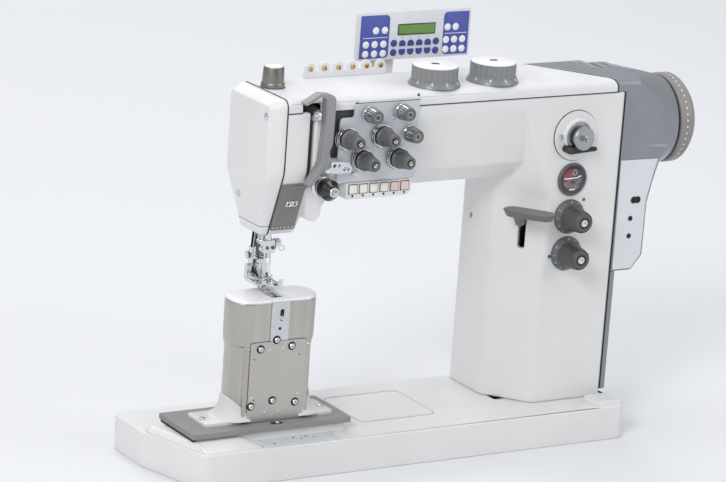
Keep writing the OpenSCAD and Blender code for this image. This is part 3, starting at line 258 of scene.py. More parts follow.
# turned part of two finishes: colour, metal share and roughness nearer the machine and further out
def twoTone(name, at, inner, outer):
    p = Paint(name)
    x, y, z = p.axes()
    near = y > at
    fine = p.noise(800, 2)
    p.give("Base Color", p.mix(near, linear(*outer[0]), linear(*inner[0])))
    p.give("Metallic", outer[1] + near * (inner[1] - outer[1]))
    p.give("Roughness", outer[2] - 0.04 + near * (inner[2] - outer[2]) + fine * 0.1)
    p.bump(fine, 0.12)
    return p.material


# satin nickel with upright hair lines and broad soft upright bands, partly real tone of the satin and partly painted
# reflection
def satin(name, rgb, roughness):
    p = Paint(name, roughness, 1.0)
    colour = linear(*rgb)
    hair = p.noise(1100, 3, (1, 1, 0.05), 0.6)
    band = p.noise(46, 2, (1, 1, 0.08))
    stain = p.noise(30, 4)
    # lighter and darker upright bands: partly random tone, partly painted reflection bands
    tone = p.mix(band.between(0.35, 0.65), shade(colour, 0.9), shade(colour, 1.05))
    p.give("Base Color", p.mix(stain.between(0.55, 0.78) * 0.3, tone, shade(colour, 0.82)))
    p.give("Roughness", roughness - 0.06 + band * 0.08 + hair * 0.08)
    p.bump(hair, 0.22)
    return p.material


# paint and lacquer of small parts
def gloss(name, rgb, roughness, coat, mottled=0.06):
    p = Paint(name, roughness, 0, coat)
    colour = linear(*rgb)
    cloud = p.noise(90, 3)
    p.give("Base Color", p.mix(cloud.between(0.3, 0.7), shade(colour, 1 - mottled), shade(colour, 1 + mottled * 0.5)))
    p.give("Roughness", roughness - 0.04 + cloud * 0.08)
    p.bump(p.noise(1200, 2), 0.06)
    return p.material


# display: cells in two rows, a touch lighter than the ground between them
def displayGlass(name, rgb, x0, z0, pitch, rows):
    p = Paint(name, 0.16, 0, 0.6)
    colour = linear(*rgb)
    x, y, z = p.axes()
    across = ((x - x0) / pitch).remainder(1.0)
    up = ((z - z0) / rows).remainder(1.0)
    cell = (across > 0.14) * (up > 0.2)
    fine = ((x * 6200).sine() * 0.5 + 0.5) * ((z * 6200).sine() * 0.5 + 0.5)
    tone = p.mix(cell, shade(colour, 0.93), shade(colour, 1.06))
    p.give("Base Color", p.mix(fine * cell * 0.25, tone, shade(colour, 0.8)))
    p.give("Roughness", 0.14 + p.noise(40, 2) * 0.06)
    return p.material


# oil gauge: dark face with a red field, level lines and a rim, in shares of its radius
def gaugeFace(name, x0, z0, radius):
    p = Paint(name, 0.12, 0, 1.0)
    x, y, z = p.axes()
    u, v = (x - x0) / radius, (z - z0) / radius
    far = (u * u + v * v) ** 0.5
    dark, red, white, grey = linear(34, 32, 35), linear(150, 40, 48), linear(232, 232, 232), linear(128, 124, 127)
    smear = p.noise(240, 3)
    blotch = p.noise(150, 2).between(0.42, 0.6)

    def spot(a, b, wide):
        return (((u - a) * (u - a) + (v - b) * (v - b)) ** 0.5) / wide

    # a line of half the length and height given, with its lean
    def line(a, b, length, height, lean=0.04):
        return ((u - a).absolute() < length) * ((v - b - u * lean).absolute() < height)

    ring = spot(0.12, 0.52, 1.0)
    tone = p.mix(blotch * (v < 0.05) * (far < 0.78) * 0.75, dark, grey)
    tone = p.mix((1 - spot(-0.42, 0.42, 0.62)).between(0.1, 0.45) * smear.between(0.25, 0.55), tone, red)
    tone = p.mix((1 - spot(-0.25, -0.3, 0.4)).between(0.2, 0.5) * blotch * 0.6, tone, red)
    tone = p.mix((ring < 0.24) * (ring > 0.1), tone, grey)
    tone = p.mix(line(-0.12, 0.12, 0.62, 0.04), tone, white)
    tone = p.mix(line(0.58, 0.2, 0.16, 0.035), tone, white)
    tone = p.mix((far > 0.82) * (far < 0.93), tone, shade(dark, 0.4))
    p.give("Base Color", p.mix(line(0, -0.72, 0.24, 0.05, 0), tone, white))
    p.give("Roughness", 0.1 + smear * 0.08)
    return p.material


# every finish, under the kind that makes it: colour, roughness and what else that kind takes
looks = {
    enamel: {
        "casting": [(224, 224, 223)], "barPaint": [(226, 226, 223)], "flangePaint": [(216, 216, 214), 0.5, 0.12, 0.05],
        "facePaint": [(224, 224, 223), 0.44, 0.12, 0.12, 0.311],
    },
    moulded: {
        "cover": [(226, 226, 229), 0.54, 0.10, 1300, 0.03], "rubber": [(138, 139, 138), 0.62, 0.35, 700],
        "belt": [(30, 30, 31), 0.7, 0.3, 600], "plastic_grey": [(124, 125, 119), 0.46, 0.22, 1200],
        "guard": [(146, 146, 147), 0.44, 0.18, 1200], "knob": [(118, 118, 117), 0.42, 0.18, 1200],
        "dial": [(134, 136, 136), 0.3, 0.1, 1200, 0.25], "black": [(34, 34, 36), 0.34, 0.14, 1200],
        "panel": [(216, 217, 221), 0.44, 0.16, 1200], "button": [(232, 229, 220), 0.34, 0.08, 900],
        "button_red": [(222, 202, 196), 0.34, 0.08, 900], "motor": [(132, 135, 142), 0.32, 0.12, 900, 0.4],
        "tensionGrey": [(102, 102, 102), 0.38, 0.16, 1200], "capGrey": [(104, 105, 104), 0.38, 0.16, 1200],
        "dialGrip": [(76, 77, 74), 0.42, 0.14, 1200], "leverGrey": [(106, 107, 103), 0.42, 0.2, 1200],
        "motorLip": [(176, 178, 184), 0.45, 0.2, 900], "wheelTaupe": [(140, 137, 134), 0.46, 0.2, 900],
        "gaugeRim": [(92, 93, 97), 0.34, 0.1, 1200],
    },
    brushed: {
        "plate": [(212, 215, 220), 0.42, (6, 1, 1), 0.12, 500, 0.35],
        "steel": [(214, 217, 219), 0.24, (1, 8, 1), 0.16, 300],
        "topPlate": [(246, 246, 248), 0.36, (1, 8, 1), 0.12, 300, 0.3],
        "panelNickel": [(200, 197, 191), 0.36, (1, 1, 0.3), 0.06, 1600],
        "slideSteel": [(224, 227, 232), 0.42, (8, 1, 1), 0.14, 300, 0.25],
        "darkSteel": [(120, 118, 114), 0.34, (1, 1, 1), 0.2, 700],
        "knobSatin": [(150, 146, 140), 0.3, (1, 1, 0.1), 0.1, 900],
        "winderSteel": [(176, 178, 181), 0.24, (1, 1, 1), 0.1, 600],
    },
    satin: {"nickel": [(192, 188, 181), 0.29]},
    bright: {
        "chrome": [(225, 226, 228), 0.1], "gold": [(214, 180, 104), 0.2], "springSteel": [(205, 206, 208), 0.16],
    },
    gloss: {
        "fieldBlue": [(74, 86, 166), 0.4, 0.1], "keyBlue": [(58, 66, 146), 0.36, 0.15],
        "keyWhite": [(240, 241, 244), 0.34, 0.15, 0.03], "markWhite": [(238, 239, 241), 0.5, 0.0, 0.03],
        "markDark": [(48, 50, 54), 0.5, 0.0, 0.05], "markPale": [(206, 207, 207), 0.5, 0.0, 0.03],
        # near-black of the recess pieces: painted shade inside holes, slots, wells, seams and gaps
        "recess": [(12, 12, 13), 0.6, 0.0, 0.1], "capWhite": [(243, 243, 244), 0.4, 0.05, 0.03],
        "darkRing": [(58, 60, 62), 0.45, 0.0, 0.1], "blueDot": [(52, 84, 160), 0.4, 0.1],
        "blackGloss": [(20, 20, 21), 0.16, 0.6], "buttonRim": [(66, 67, 69), 0.5, 0.0],
        "buttonFace": [(238, 236, 228), 0.34, 0.1, 0.03], "buttonWarm": [(226, 204, 197), 0.34, 0.1, 0.03],
        # dark grey floor of the opening by the tension plate: painted shade of that hollow
        "openingGrey": [(74, 77, 80), 0.6, 0.0, 0.1],
    },
    displayGlass: {"display": [(92, 142, 56), 0.044, 0.5236, 0.0034, 0.0064]},
    gaugeFace: {"gaugeGlass": [0.246, 0.349, 0.0185]},
    twoTone: {
        "dialTones": [-0.0553, ((92, 94, 95), 0.0, 0.44), ((86, 86, 82), 0.0, 0.4)],
        "wheelTones": [-0.0589, ((84, 85, 87), 0.5, 0.36), ((176, 178, 180), 1.0, 0.2)],
    },
}
finishes = {name: make(name + "Finish", *look) for make, kind in looks.items() for name, look in kind.items()}
print("finishes made:", len(finishes))

# solids whose finish differs from the rest of their slot
ownFinish = {
    "face_cover": "facePaint", "handwheel": "wheelTaupe", "winder_wheel": "wheelTones",
    "stitch_dial_upper": "dialTones", "stitch_dial_lower": "dialTones", "winder_tension_knob": "blackGloss",
    "reverse_lever": "leverGrey", "throat_plate": "topPlate", "post_panel": "panelNickel",
    "slide_plate": "slideSteel", "button_bar": "barPaint", "gauge": "gaugeRim",
}

# edge softening of the carried-over solids, in metres
edges = {
    "bed_casting": 0.0015, "bed_end_cover": 0.002, "face_cover": 0.0022, "top_cover": 0.0010, "post_panel": 0.0006,
    "rubber_plate": 0.0008, "motor_panel": 0.0006, "side_cover": 0.001, "panel_bracket": 0.0008,
    "tension_plate": 0.0005, "head_plate": 0.0006, "reverse_lever": 0.0012, "thread_guide_rail": 0.0006,
    "presser_bar": 0.0005, "walking_bar": 0.0005, "needle_bar": 0.0003, "post_strip": 0.0003,
    "push_button": 0.0006, "other": 0.0004,
}

# castings with soft cast edges: name, grid size, rounds of smoothing, share of faces kept, and a zone to blend
castShells = {
    "arm_casting": ("armShell", 0.0017, 7, 0.16),
    "motor_cover": ("motorShell", 0.0014, 5, 0.2),
    "post_housing": ("postShell", 0.0011, 8, 0.22,
                     {"z": (0.142, 0.194), "x": (-0.229, -0.129), "y": -0.03, "rounds": 60}),
    "take_up_guard": ("guardShell", 0.0007, 5, 0.3),
    "button_bar": ("buttonBarShell", 0.0005, 3, 0.3),
}
slotOf = {part["node"]: part["material_slot"] for part in record["subparts"]}
slotNames = {m["slot"] for m in record["materials"]}
weldGap = 0.00001


def dress(mesh, node):
    mesh.materials.clear()
    mesh.materials.append(finishes[ownFinish.get(node, slotOf[node])])


def modify(body, kind, **settings):
    settle(body.modifiers.new(kind.lower(), kind), **settings)


def soften(body, width):
    mesh = body.data
    if "custom_normal" in mesh.attributes:
        mesh.attributes.remove(mesh.attributes["custom_normal"])
    mesh.shade_smooth()
    modify(body, "WELD", merge_threshold=weldGap)
    modify(body, "DECIMATE", decimate_type="DISSOLVE", angle_limit=math.radians(0.4))
    modify(body, "BEVEL", width=width, segments=3, limit_method="ANGLE", angle_limit=math.radians(32),
           use_clamp_overlap=False, miter_outer="MITER_ARC")
    modify(body, "WEIGHTED_NORMAL", keep_sharp=True, weight=60)


for name, body in nodes.items():
    dress(body.data, name)
    if name not in castShells:
        soften(body, edges.get(name, edges["push_button" if name.startswith("push_button") else "other"]))
print("solids dressed")


# smooths the zone between two heights, outside the front's middle
def blendZone(mesh, zone):
    build = bmesh.new()
    build.from_mesh(mesh)
    (low, high), (left, right) = zone["z"], zone["x"]
    soft = [v for v in build.verts if low < v.co.z < high and (v.co.y > zone["y"] or not left < v.co.x < right)]
    for k in range(zone["rounds"]):
        bmesh.ops.smooth_vert(build, verts=soft, factor=0.5, use_axis_x=True, use_axis_y=True, use_axis_z=True)
    build.to_mesh(mesh)
    build.free()


def applied(made):
    bpy.context.view_layer.update()
    done = bpy.data.meshes.new_from_object(made.evaluated_get(bpy.context.evaluated_depsgraph_get()))
    made.modifiers.clear()
    made.data = done
    return done


# the solid's own surface, remeshed finely and relaxed
def castShell(node, name, voxel, rounds, keep, zone=None):
    made = linked(name, nodes[node].data.copy())
    made.matrix_world = nodes[node].matrix_world
    modify(made, "WELD", merge_threshold=weldGap)
    modify(made, "REMESH", mode="VOXEL", voxel_size=voxel)
    modify(made, "SMOOTH", factor=0.5, iterations=rounds)
    if zone:
        blendZone(applied(made), zone)
    modify(made, "DECIMATE", ratio=keep)
    done = applied(made)
    done.name = name
    done.shade_smooth()
    modify(made, "WEIGHTED_NORMAL", weight=70)
    dress(done, node)
    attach(made, "frame")
    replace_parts(made, node)
    print(name, len(done.polygons), "faces")
    return made


shells = {node: castShell(node, *settings) for node, settings in castShells.items()}

# building in mesh code: outlines are in millimetres and go to metres when a piece is set in place
asIs = Matrix.Identity(4)
toMetres = Matrix.Scale(0.001, 4)


def axesIn(place, right, up):
    r, u = Vector(right).normalized(), Vector(up).normalized()
    return Matrix.Translation(place) @ Matrix((r, u, r.cross(u))).transposed().to_4x4()


def axesAt(place, right, up):
    return toMetres @ axesIn(place, right, up)


# on the operator's side: u runs right, v up and w out of the face
def onFront(x, z, y=-47.0):
    return axesAt((x, y, z), (1, 0, 0), (0, 0, 1))


def onTop(x, y, z):
    return axesAt((x, y, z), (1, 0, 0), (0, 1, 0))


def onLeft(y, z, x):
    return axesAt((x, y, z), (0, -1, 0), (0, 0, 1))


def onRight(y, z, x):
    return axesAt((x, y, z), (0, 1, 0), (0, 0, 1))


def onBack(x, z, y):
    return axesAt((x, y, z), (-1, 0, 0), (0, 0, 1))


def polar(r, degrees, centre=(0, 0)):
    a = math.radians(degrees)
    return centre[0] + r * math.cos(a), centre[1] + r * math.sin(a)


def circle(r, steps, centre=(0, 0)):
    return [polar(r, 360 * k / steps, centre) for k in range(steps)]


def spun(points, turn, centre=(0, 0)):
    c, s = math.cos(turn), math.sin(turn)
    return [(centre[0] + x * c - y * s, centre[1] + x * s + y * c) for x, y in points]


def rect(x0, x1, y0, y1):
    return [(x0, y0), (x1, y0), (x1, y1), (x0, y1)]


# corners from the upper right one, counter-clockwise, with one radius or four
def roundRect(w, h, r, steps=5, centre=(0, 0)):
    radii = r if isinstance(r, tuple) else (r, r, r, r)
    points = []
    for k, ((sx, sy), rad) in enumerate(zip(((1, 1), (-1, 1), (-1, -1), (1, -1)), radii)):
        corner = centre[0] + sx * (w / 2 - rad), centre[1] + sy * (h / 2 - rad)
        points += [polar(rad, 90 * (k + i / steps), corner) for i in range(steps + 1)]
    return points


# an outline with its corners rounded: each entry is two coordinates and a radius
def softOutline(points, steps=6):
    done = []
    for i, (x, y, r) in enumerate(points):
        if r <= 0:
            done.append((x, y))
            continue
        here = Vector((x, y))
        before, after = Vector(points[i - 1][:2]), Vector(points[(i + 1) % len(points)][:2])
        u, v = (before - here).normalized(), (after - here).normalized()
        half = math.acos(max(-1, min(1, u.dot(v)))) / 2
        centre = here + (u + v).normalized() * (r / math.sin(half))
        first, last = (here + w * (r / math.tan(half)) - centre for w in (u, v))
        sweep = math.copysign(math.pi - 2 * half, first.x * last.y - first.y * last.x)
        done += [spun([first], sweep * k / steps, centre)[0] for k in range(steps + 1)]
    return done


# a mesh under construction, which its methods add to
class Form:
    def __init__(self):
        self.mesh = bmesh.new()

    # faces between neighbouring rows of points, where a row of one point is a tip
    def skin(self, rows, around=True, loop=False):
        made = [[self.mesh.verts.new(p) for p in row] for row in rows]
        for a, b in zip(made, made[1:] + made[:loop]):
            n = max(len(a), len(b))
            for i in range(n if around else n - 1):
                j = (i + 1) % n
                ring = dict.fromkeys((a[i % len(a)], a[j % len(a)], b[j % len(b)], b[i % len(b)]))
                if len(ring) > 2:
                    self.mesh.faces.new(list(ring))
        return made

    def close(self, *rings):
        for ring in rings:
            self.mesh.faces.new(ring)
        return self

    # turned, at one or more spots: each entry of the profile is radius and height
    def turn(self, profile, steps, *spots):
        for spot in spots or [(0, 0)]:
            self.skin([[(*p, h) for p in circle(r, steps, spot)] if r else [(*spot, h)] for r, h in profile])
        return self

    # turned with flutes: each entry is radius, height and depth of the flutes there
    def flute(self, profile, count, per=6, spot=(0, 0)):
        turns = [360 * i / (count * per) for i in range(count * per)]
        wave = [math.sin(math.radians(count * a / 2)) ** 4 for a in turns]
        self.skin([[(*polar(r - deep * k, a, spot), h) for a, k in zip(turns, wave)] for r, h, deep in profile])
        return self

    # a plate of one outline with an eased upper edge
    def plate(self, outline, low, high, ease=0.0):
        centre = Vector([sum(side) / len(outline) for side in zip(*outline)])

        def inset(p, d):
            v = Vector(p) - centre
            return centre + v * max(0.0, 1 - d / max(v.length, 1e-6))

        rows = [[(*p, h) for p in outline] for h in (low, high - ease)]
        for d, h in ((ease * 0.3, high - ease * 0.3), (ease, high)) if ease else ():
            rows.append([(*inset(p, d), h) for p in outline])
        made = self.skin(rows)
        return self.close(made[-1], made[0][::-1])

    # a round wire along points
    def wire(self, points, radius, steps=8, loop=False):
        pts = [Vector(p) for p in points]
        n, rows, side = len(pts), [], None
        for i, p in enumerate(pts):
            a = pts[i - 1] if i or loop else p
            b = pts[(i + 1) % n] if i < n - 1 or loop else p
            way = (b - a).normalized()
            if side is None:
                side = way.orthogonal()
            side = (side - way * side.dot(way)).normalized()
            other = way.cross(side)
            rows.append([p + side * u + other * v for u, v in circle(radius, steps)])
        made = self.skin(rows, loop=loop)
        return self if loop else self.close(made[0][::-1], made[-1])

    # sheet metal with round holes: each hole is two coordinates and a radius
    def sheet(self, outline, holes, low, high):
        rim = []
        for loop in [outline] + [circle(r, 20, (x, y)) for x, y, r in holes]:
            ring = [self.mesh.verts.new((*p, low)) for p in loop]
            rim += [self.mesh.edges.new((a, b)) for a, b in zip(ring, ring[1:] + ring[:1])]
        made = bmesh.ops.triangle_fill(self.mesh, use_beauty=True, edges=rim)["geom"]
        faces = [f for f in made if isinstance(f, bmesh.types.BMFace)]
        raised = bmesh.ops.extrude_face_region(self.mesh, geom=faces)["geom"]
        moved = [v for v in raised if isinstance(v, bmesh.types.BMVert)]
        bmesh.ops.translate(self.mesh, verts=moved, vec=(0, 0, high - low))
        return self

    # rounds the edges that are sharper than an angle in radians
    def bevel(self, angle, offset, segments, clamp=False):
        rim = [e for e in self.mesh.edges if e.is_manifold and e.calc_face_angle() > angle]
        bmesh.ops.bevel(self.mesh, geom=rim, offset=offset, segments=segments, affect="EDGES", clamp_overlap=clamp)
        return self

    # a slotted end with the slot's width, depth and turn
    def slotted(self, r, low, high, width, deep, turn, spot=(0, 0)):
        for side in (1, -1):
            half = [(u, side * max(side * v, width / 2)) for u, v in circle(r, 28) if side * v > -0.01]
            half.sort(key=lambda p: -p[0] * side)
            self.plate(spun(half, turn, spot), high - deep, high, 0.15)
        return self.turn([(r, low), (r, high - deep), (0, high - deep)], 28, spot)

    # takes up another form, set in place
    def add(self, part, at):
        spare = bpy.data.meshes.new("spare")
        part.mesh.transform(at)
        part.mesh.to_mesh(spare)
        part.mesh.free()
        self.mesh.from_mesh(spare)
        bpy.data.meshes.remove(spare)
        return self

    def piece(self, name, at, finish, body="frame", slot=None, smooth=True, angle=35):
        bmesh.ops.recalc_face_normals(self.mesh, faces=self.mesh.faces)
        self.mesh.transform(at)
        mesh = bpy.data.meshes.new(name)
        self.mesh.to_mesh(mesh)
        self.mesh.free()
        if smooth:
            mesh.shade_smooth()
            mesh.set_sharp_from_angle(angle=math.radians(angle))
        mesh.materials.append(finishes[finish])
        made = linked(name, mesh)
        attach(made, body)
        slot or (finish if finish in slotNames else "casting")
        return made


def figure(text, height):
    curve = settle(bpy.data.curves.new("figure", "FONT"), body=text, size=height, align_x="CENTER", align_y="CENTER",
                   extrude=0.15, resolution_u=3)
    holder = linked("figure", curve)
    bpy.context.view_layer.update()
    form = Form()
    form.mesh.from_mesh(holder.to_mesh())
    holder.to_mesh_clear()
    bpy.data.objects.remove(holder)
    bpy.data.curves.remove(curve)
    return form


# figures round a dial's axis, on a skirt that leans towards the dial's end
def scaleForm(texts, first, step, radius, lean, height):
    form = Form()
    for i, text in enumerate(texts):
        a = first + i * step
        out, along = Vector((*polar(1, a), 0)), Vector((*polar(1, a + 90), 0))
        up = Vector((0, 0, math.sin(math.radians(lean)))) - out * math.cos(math.radians(lean))
        form.add(figure(text, height), axesIn(out * radius, along, up))
    return form


# control panel: fields, keys and display, as shares of its width and height
panel = {
    "x": -17.0, "z": 491.0, "y": 81.0, "w": 171.0, "h": 63.0, "body": 6.4, "thick": 12.0,
    "fields": [(0.022, 0.276, (6, 1, 1, 6)), (0.756, 0.982, (1, 6, 6, 1))], "fieldTop": 0.055, "fieldFoot": 0.955,
    "lines": [(0.047, 0.262, 0.525), (0.768, 0.968, 0.51)], "display": (0.350, 0.684, 0.262, 0.50), "rim": 3.0,
    "whiteKeys": [(0.157, 0.376), (0.235, 0.376), (0.076, 0.665), (0.153, 0.665), (0.230, 0.665),
                  (0.076, 0.860), (0.153, 0.860), (0.230, 0.860), (0.793, 0.376), (0.865, 0.376),
                  (0.786, 0.645), (0.859, 0.645), (0.932, 0.645), (0.786, 0.845), (0.859, 0.845), (0.932, 0.845)],
    "roundKeys": [(0.323, 0.66), (0.323, 0.855), (0.697, 0.66), (0.697, 0.855)], "keyR": 4.6,
    "archKeys": [0.398, 0.472, 0.548, 0.623], "archRows": (0.66, 0.855), "archFoot": 4.2, "dotRow": 0.55,
}


def makePanel(d):
    at = onFront(d["x"] + d["w"] / 2, d["z"] + d["h"] / 2, d["y"])

    def spot(u, v):
        return d["w"] * (u - 0.5), d["h"] * (0.5 - v)

    def area(left, right, top, foot, radii, steps, less=0.0):
        (x0, z1), (x1, z0) = spot(left, top), spot(right, foot)
        return roundRect(x1 - x0 - less, z1 - z0 - less, radii, steps, ((x0 + x1) / 2, (z0 + z1) / 2))

    # slim body with a box behind it for the bracket
    body = Form().plate(roundRect(d["w"], d["h"], 3), -d["body"], 0, 0.8)
    body.plate(roundRect(d["w"] - 15, d["h"] - 11, 4), -d["thick"], 0.2 - d["body"])
    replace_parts(body.piece("panelBody", at, "panel"), "control_panel")
    fields, lines, white, blue, rim, glass, dots = (Form() for k in range(7))
    for left, right, radii in d["fields"]:
        fields.plate(area(left, right, d["fieldTop"], d["fieldFoot"], radii, 6), -0.2, 0.35, 0.12)
    for left, right, v in d["lines"]:
        (x0, z), (x1, z) = spot(left, v), spot(right, v)
        lines.plate(roundRect(x1 - x0, 0.7, 0.3, 2, ((x0 + x1) / 2, z)), 0.2, 0.55)
    r, foot = d["keyR"], d["archFoot"]
    dome = [(r + 0.25, 0.1), (r + 0.1, 0.6), (r - 0.5, 1.15), (r - 1.6, 1.4), (0, 1.5)]
    white.turn(dome, 28, *[spot(*key) for key in d["whiteKeys"]])
    blue.turn(dome, 28, *[spot(*key) for key in d["roundKeys"]])
    arch = [(u, v * 0.95 - 0.6) for u, v in (polar(r, a) for a in range(0, 181, 12))] + [(-r, -foot), (r, -foot)]
    for u in d["archKeys"]:
        for v, flip in zip(d["archRows"], (1, -1)):
            x, z = spot(u, v)
            blue.plate([(x + px, z + flip * pz) for px, pz in arch], 0.0, 1.3, 0.45)
    rim.plate(area(*d["display"], 1.2, 4), -1.0, 0.5, 0.3)
    glass.plate(area(*d["display"], 0.5, 3, d["rim"]), -0.6, 0.75, 0.15)
    dots.turn([(0.6, 0), (0.6, 0.25), (0, 0.3)], 12, *[spot(u, d["dotRow"]) for u in d["archKeys"]])
    for form, name, finish in (
            (fields, "panelFields", "fieldBlue"), (lines, "panelLines", "markWhite"),
            (white, "panelWhiteKeys", "keyWhite"), (blue, "panelBlueKeys", "keyBlue"),
            (rim, "displayRim", "darkRing"), (glass, "displayGlass", "display"), (dots, "panelDots", "keyBlue")):
        form.piece(name, at, finish, slot="panel")


makePanel(panel)

# eyelets of the thread rail
eyelets = {"x0": -98.0, "pitch": 20.8, "count": 6, "z": 491.0, "y": 57.0, "thick": 4.0, "ring": 3.6, "bore": 1.9}


def makeEyelets(d):
    r, b, t = d["ring"], d["bore"], d["thick"]
    profile = [(b, -t - 0.6), (r - 0.6, -t - 0.9), (r, -t - 0.3), (b + 0.25, -t), (b + 0.15, 0), (r, 0.2),
               (r - 0.5, 0.9), (b, 0.6), (b - 0.2, 0.0), (b - 0.2, -t), (b, -t - 0.6)]
    form = Form().turn(profile, 28, *[(i * d["pitch"], 0) for i in range(d["count"])])
    form.piece("railEyelets", onFront(d["x0"], d["z"], d["y"]), "gold", slot="chrome")


makeEyelets(eyelets)
print("panel and rail made")

# lift dials: pale cap with a slot, and figures on the skirt
liftDials = {
    "x": {"left": 45.0, "right": 133.0}, "y": -12.0, "top": 505.0, "cap": 29.3, "slotTurn": -20,
    "skirt": 31.4, "skirtZ": 484.9, "lean": 59, "figure": 6.8, "first": -240, "step": 37.5,
}


def makeLiftDials(d):
    for name, x in d["x"].items():
        body, r = "lift_" + name, d["cap"]
        at = onTop(x, d["y"], d["top"])
        cap = Form().turn([(r, -0.9), (r, 0.1), (r - 0.5, 0.7), (r - 1.4, 0.95), (0, 1.15)], 64)
        cap.piece("liftCap_" + name, at, "capWhite", body, "dial")
        at = at @ Matrix.Rotation(math.radians(d["slotTurn"]), 4, "Z")
        # black slot on the cap: painted shade in the slot
        Form().plate(roundRect(10, 7, 1.2, 4), 0.6, 1.3, 0.08).piece("liftSlot_" + name, at, "recess", body, "dial")
        scale = scaleForm("123456789", d["first"], d["step"], d["skirt"], d["lean"], d["figure"])
        scale.piece("liftFigures_" + name, onTop(x, d["y"], d["skirtZ"]), "markWhite", body, "dial", smooth=False)


makeLiftDials(liftDials)

# lip of the cover over the tension plate, a black strip under it as painted shade of the gap there, and the pointer for
# the lift dial
coverLip = {"x": (-87.0, 3.0), "z": (471.0, 474.2), "gap": 470.0, "gapLonger": 4.0, "pointer": (2.4, 474.4)}


def makeLip(d):
    (x0, x1), (z0, z1), (x, z) = d["x"], d["z"], d["pointer"]
    at = onFront(0, 0)
    Form().plate(rect(x0, x1, z0, z1), -0.4, 2.0, 0.5).piece("coverLip", at, "cover", angle=50)
    gap = Form().plate(rect(x0 - d["gapLonger"], x1, d["gap"], z0), -0.4, 1.6)
    gap.piece("coverLipGapShade", at, "recess", slot="black", smooth=False)
    pointer = Form().plate([(x - 1.8, z), (x + 1.8, z), (x, z + 3.4)], -3.0, -1.1, 0.1)
    pointer.piece("liftPointer", at, "markDark", slot="cover")


makeLip(coverLip)

# pressure knob: satin body on a flared foot, pale top
pressureKnob = {
    "x": -169.0, "y": 27.0, "z": 479.0, "top": [(12.0, 26.7), (11.8, 27.0), (0, 27.0)],
    "body": [(15.0, 0.35), (15.3, 0.9), (15.1, 5.6), (14.5, 6.5), (14.1, 6.8), (13.1, 25.4), (12.8, 26.3),
             (12.1, 26.8), (0, 26.8)],
    "seat": [(15.9, -0.2), (15.9, 0.2), (14.6, 0.25)],
}


def makePressureKnob(d):
    at = onTop(d["x"], d["y"], d["z"])
    made = Form().turn(d["body"], 56).piece("pressureBody", at, "knobSatin", "pressure", "knob")
    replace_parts(made, "pressure_knob")
    Form().turn(d["top"], 56).piece("pressureTop", at, "capWhite", "pressure", "knob")
    # black ring round the knob's foot: painted shade of the gap round it
    Form().turn(d["seat"], 56).piece("pressureSeat", at, "recess", slot="black")


makePressureKnob(pressureKnob)

# stitch dials: black collar and socket screw at the end, figures round the scale ring, fluted grip
stitchDials = {
    "x": 246.0, "z": {"upper": 299.0, "lower": 249.0}, "y": -47.0, "length": 38.0,
    "ring": 20.6, "ringOut": 5.7, "lean": 45, "figure": 4.0, "first": 90, "step": 30,
    "collar": [(7.4, -2.2), (7.4, 0.5), (6.9, 0.9), (5.6, 0.9), (5.2, 0.2), (5.2, -2.2)],
    "screw": [(5.0, -2.2), (5.0, 0.3), (4.5, 0.7), (2.4, 0.7)], "socket": [(2.4, 0.7), (2.3, -1.2), (0, -1.4)],
    "grip": [(16.1, 8.6, 0), (17.1, 9.2, 0.2), (17.0, 11.0, 0.9), (14.2, 34.0, 0.9), (13.9, 35.6, 0.4),
             (12.8, 36.9, 0)],
}


def makeStitchDials(d):
    for name, z in d["z"].items():
        body = "dial_" + name
        end = onFront(d["x"], z, d["y"] - d["length"])
        Form().turn(d["collar"], 36).piece("dialCollar_" + name, end, "black", body)
        Form().turn(d["screw"], 30).turn(d["socket"], 6).piece("dialScrew_" + name, end, "chrome", body)
        scale = scaleForm(map(str, range(12)), d["first"], d["step"], d["ring"], d["lean"], d["figure"])
        at = onFront(d["x"], z, d["y"] - d["ringOut"])
        scale.piece("dialFigures_" + name, at, "markPale", body, "knob", smooth=False)


makeStitchDials(stitchDials)

# index marks of the stitch dials, and the gauge's glass in its rim
marks = {"dot": [(2.4, 0), (2.4, 0.5), (2.0, 0.8), (0, 0.9)], "blue": (221.0, 246.0), "grey": (268.0, 320.0)}
gauge = {"place": (246.0, 349.0), "glass": [(18.9, 1.6), (18.7, 2.2), (14, 3.1), (7, 3.7), (0, 3.9)]}
Form().turn(marks["dot"], 24).piece("markBlue", onFront(*marks["blue"]), "blueDot", slot="casting")
Form().turn(marks["dot"], 24).piece("markGrey", onFront(*marks["grey"]), "knob")
Form().turn(gauge["glass"], 56).piece("gaugeGlass", onFront(*gauge["place"]), "gaugeGlass", slot="black")
print("dials and gauge made")

# bobbin winder: outline of its plate, boss, clutch wheel with ribs, disc and spindle clip
winder = {
    "x": 246.0, "z": 408.0, "plate": 33.0, "thick": 2.5, "bossShift": (1.5, 1.5, 0), "lever": (230.0, 392.0),
    "ribs": 36, "rib": [(16.9, -0.5), (17.5, -0.35), (17.5, 0.35), (16.9, 0.5)],
    "ring": [(16.8, 8.2), (18.3, 8.2), (18.7, 8.6), (18.7, 9.4), (17.6, 9.9), (17.6, 10.3), (18.5, 10.8),
             (18.3, 11.6), (16.8, 11.8)],
    "disc": [(15.3, 17.6), (15.3, 21.6), (14.6, 22.3), (13.6, 22.3), (13.2, 21.95), (3.2, 21.95)],
    "clip": 3.4, "clipOut": 26.5, "pin": [(4.6, 15.2), (4.6, 16.0), (4.0, 16.6), (0, 16.6)],
}


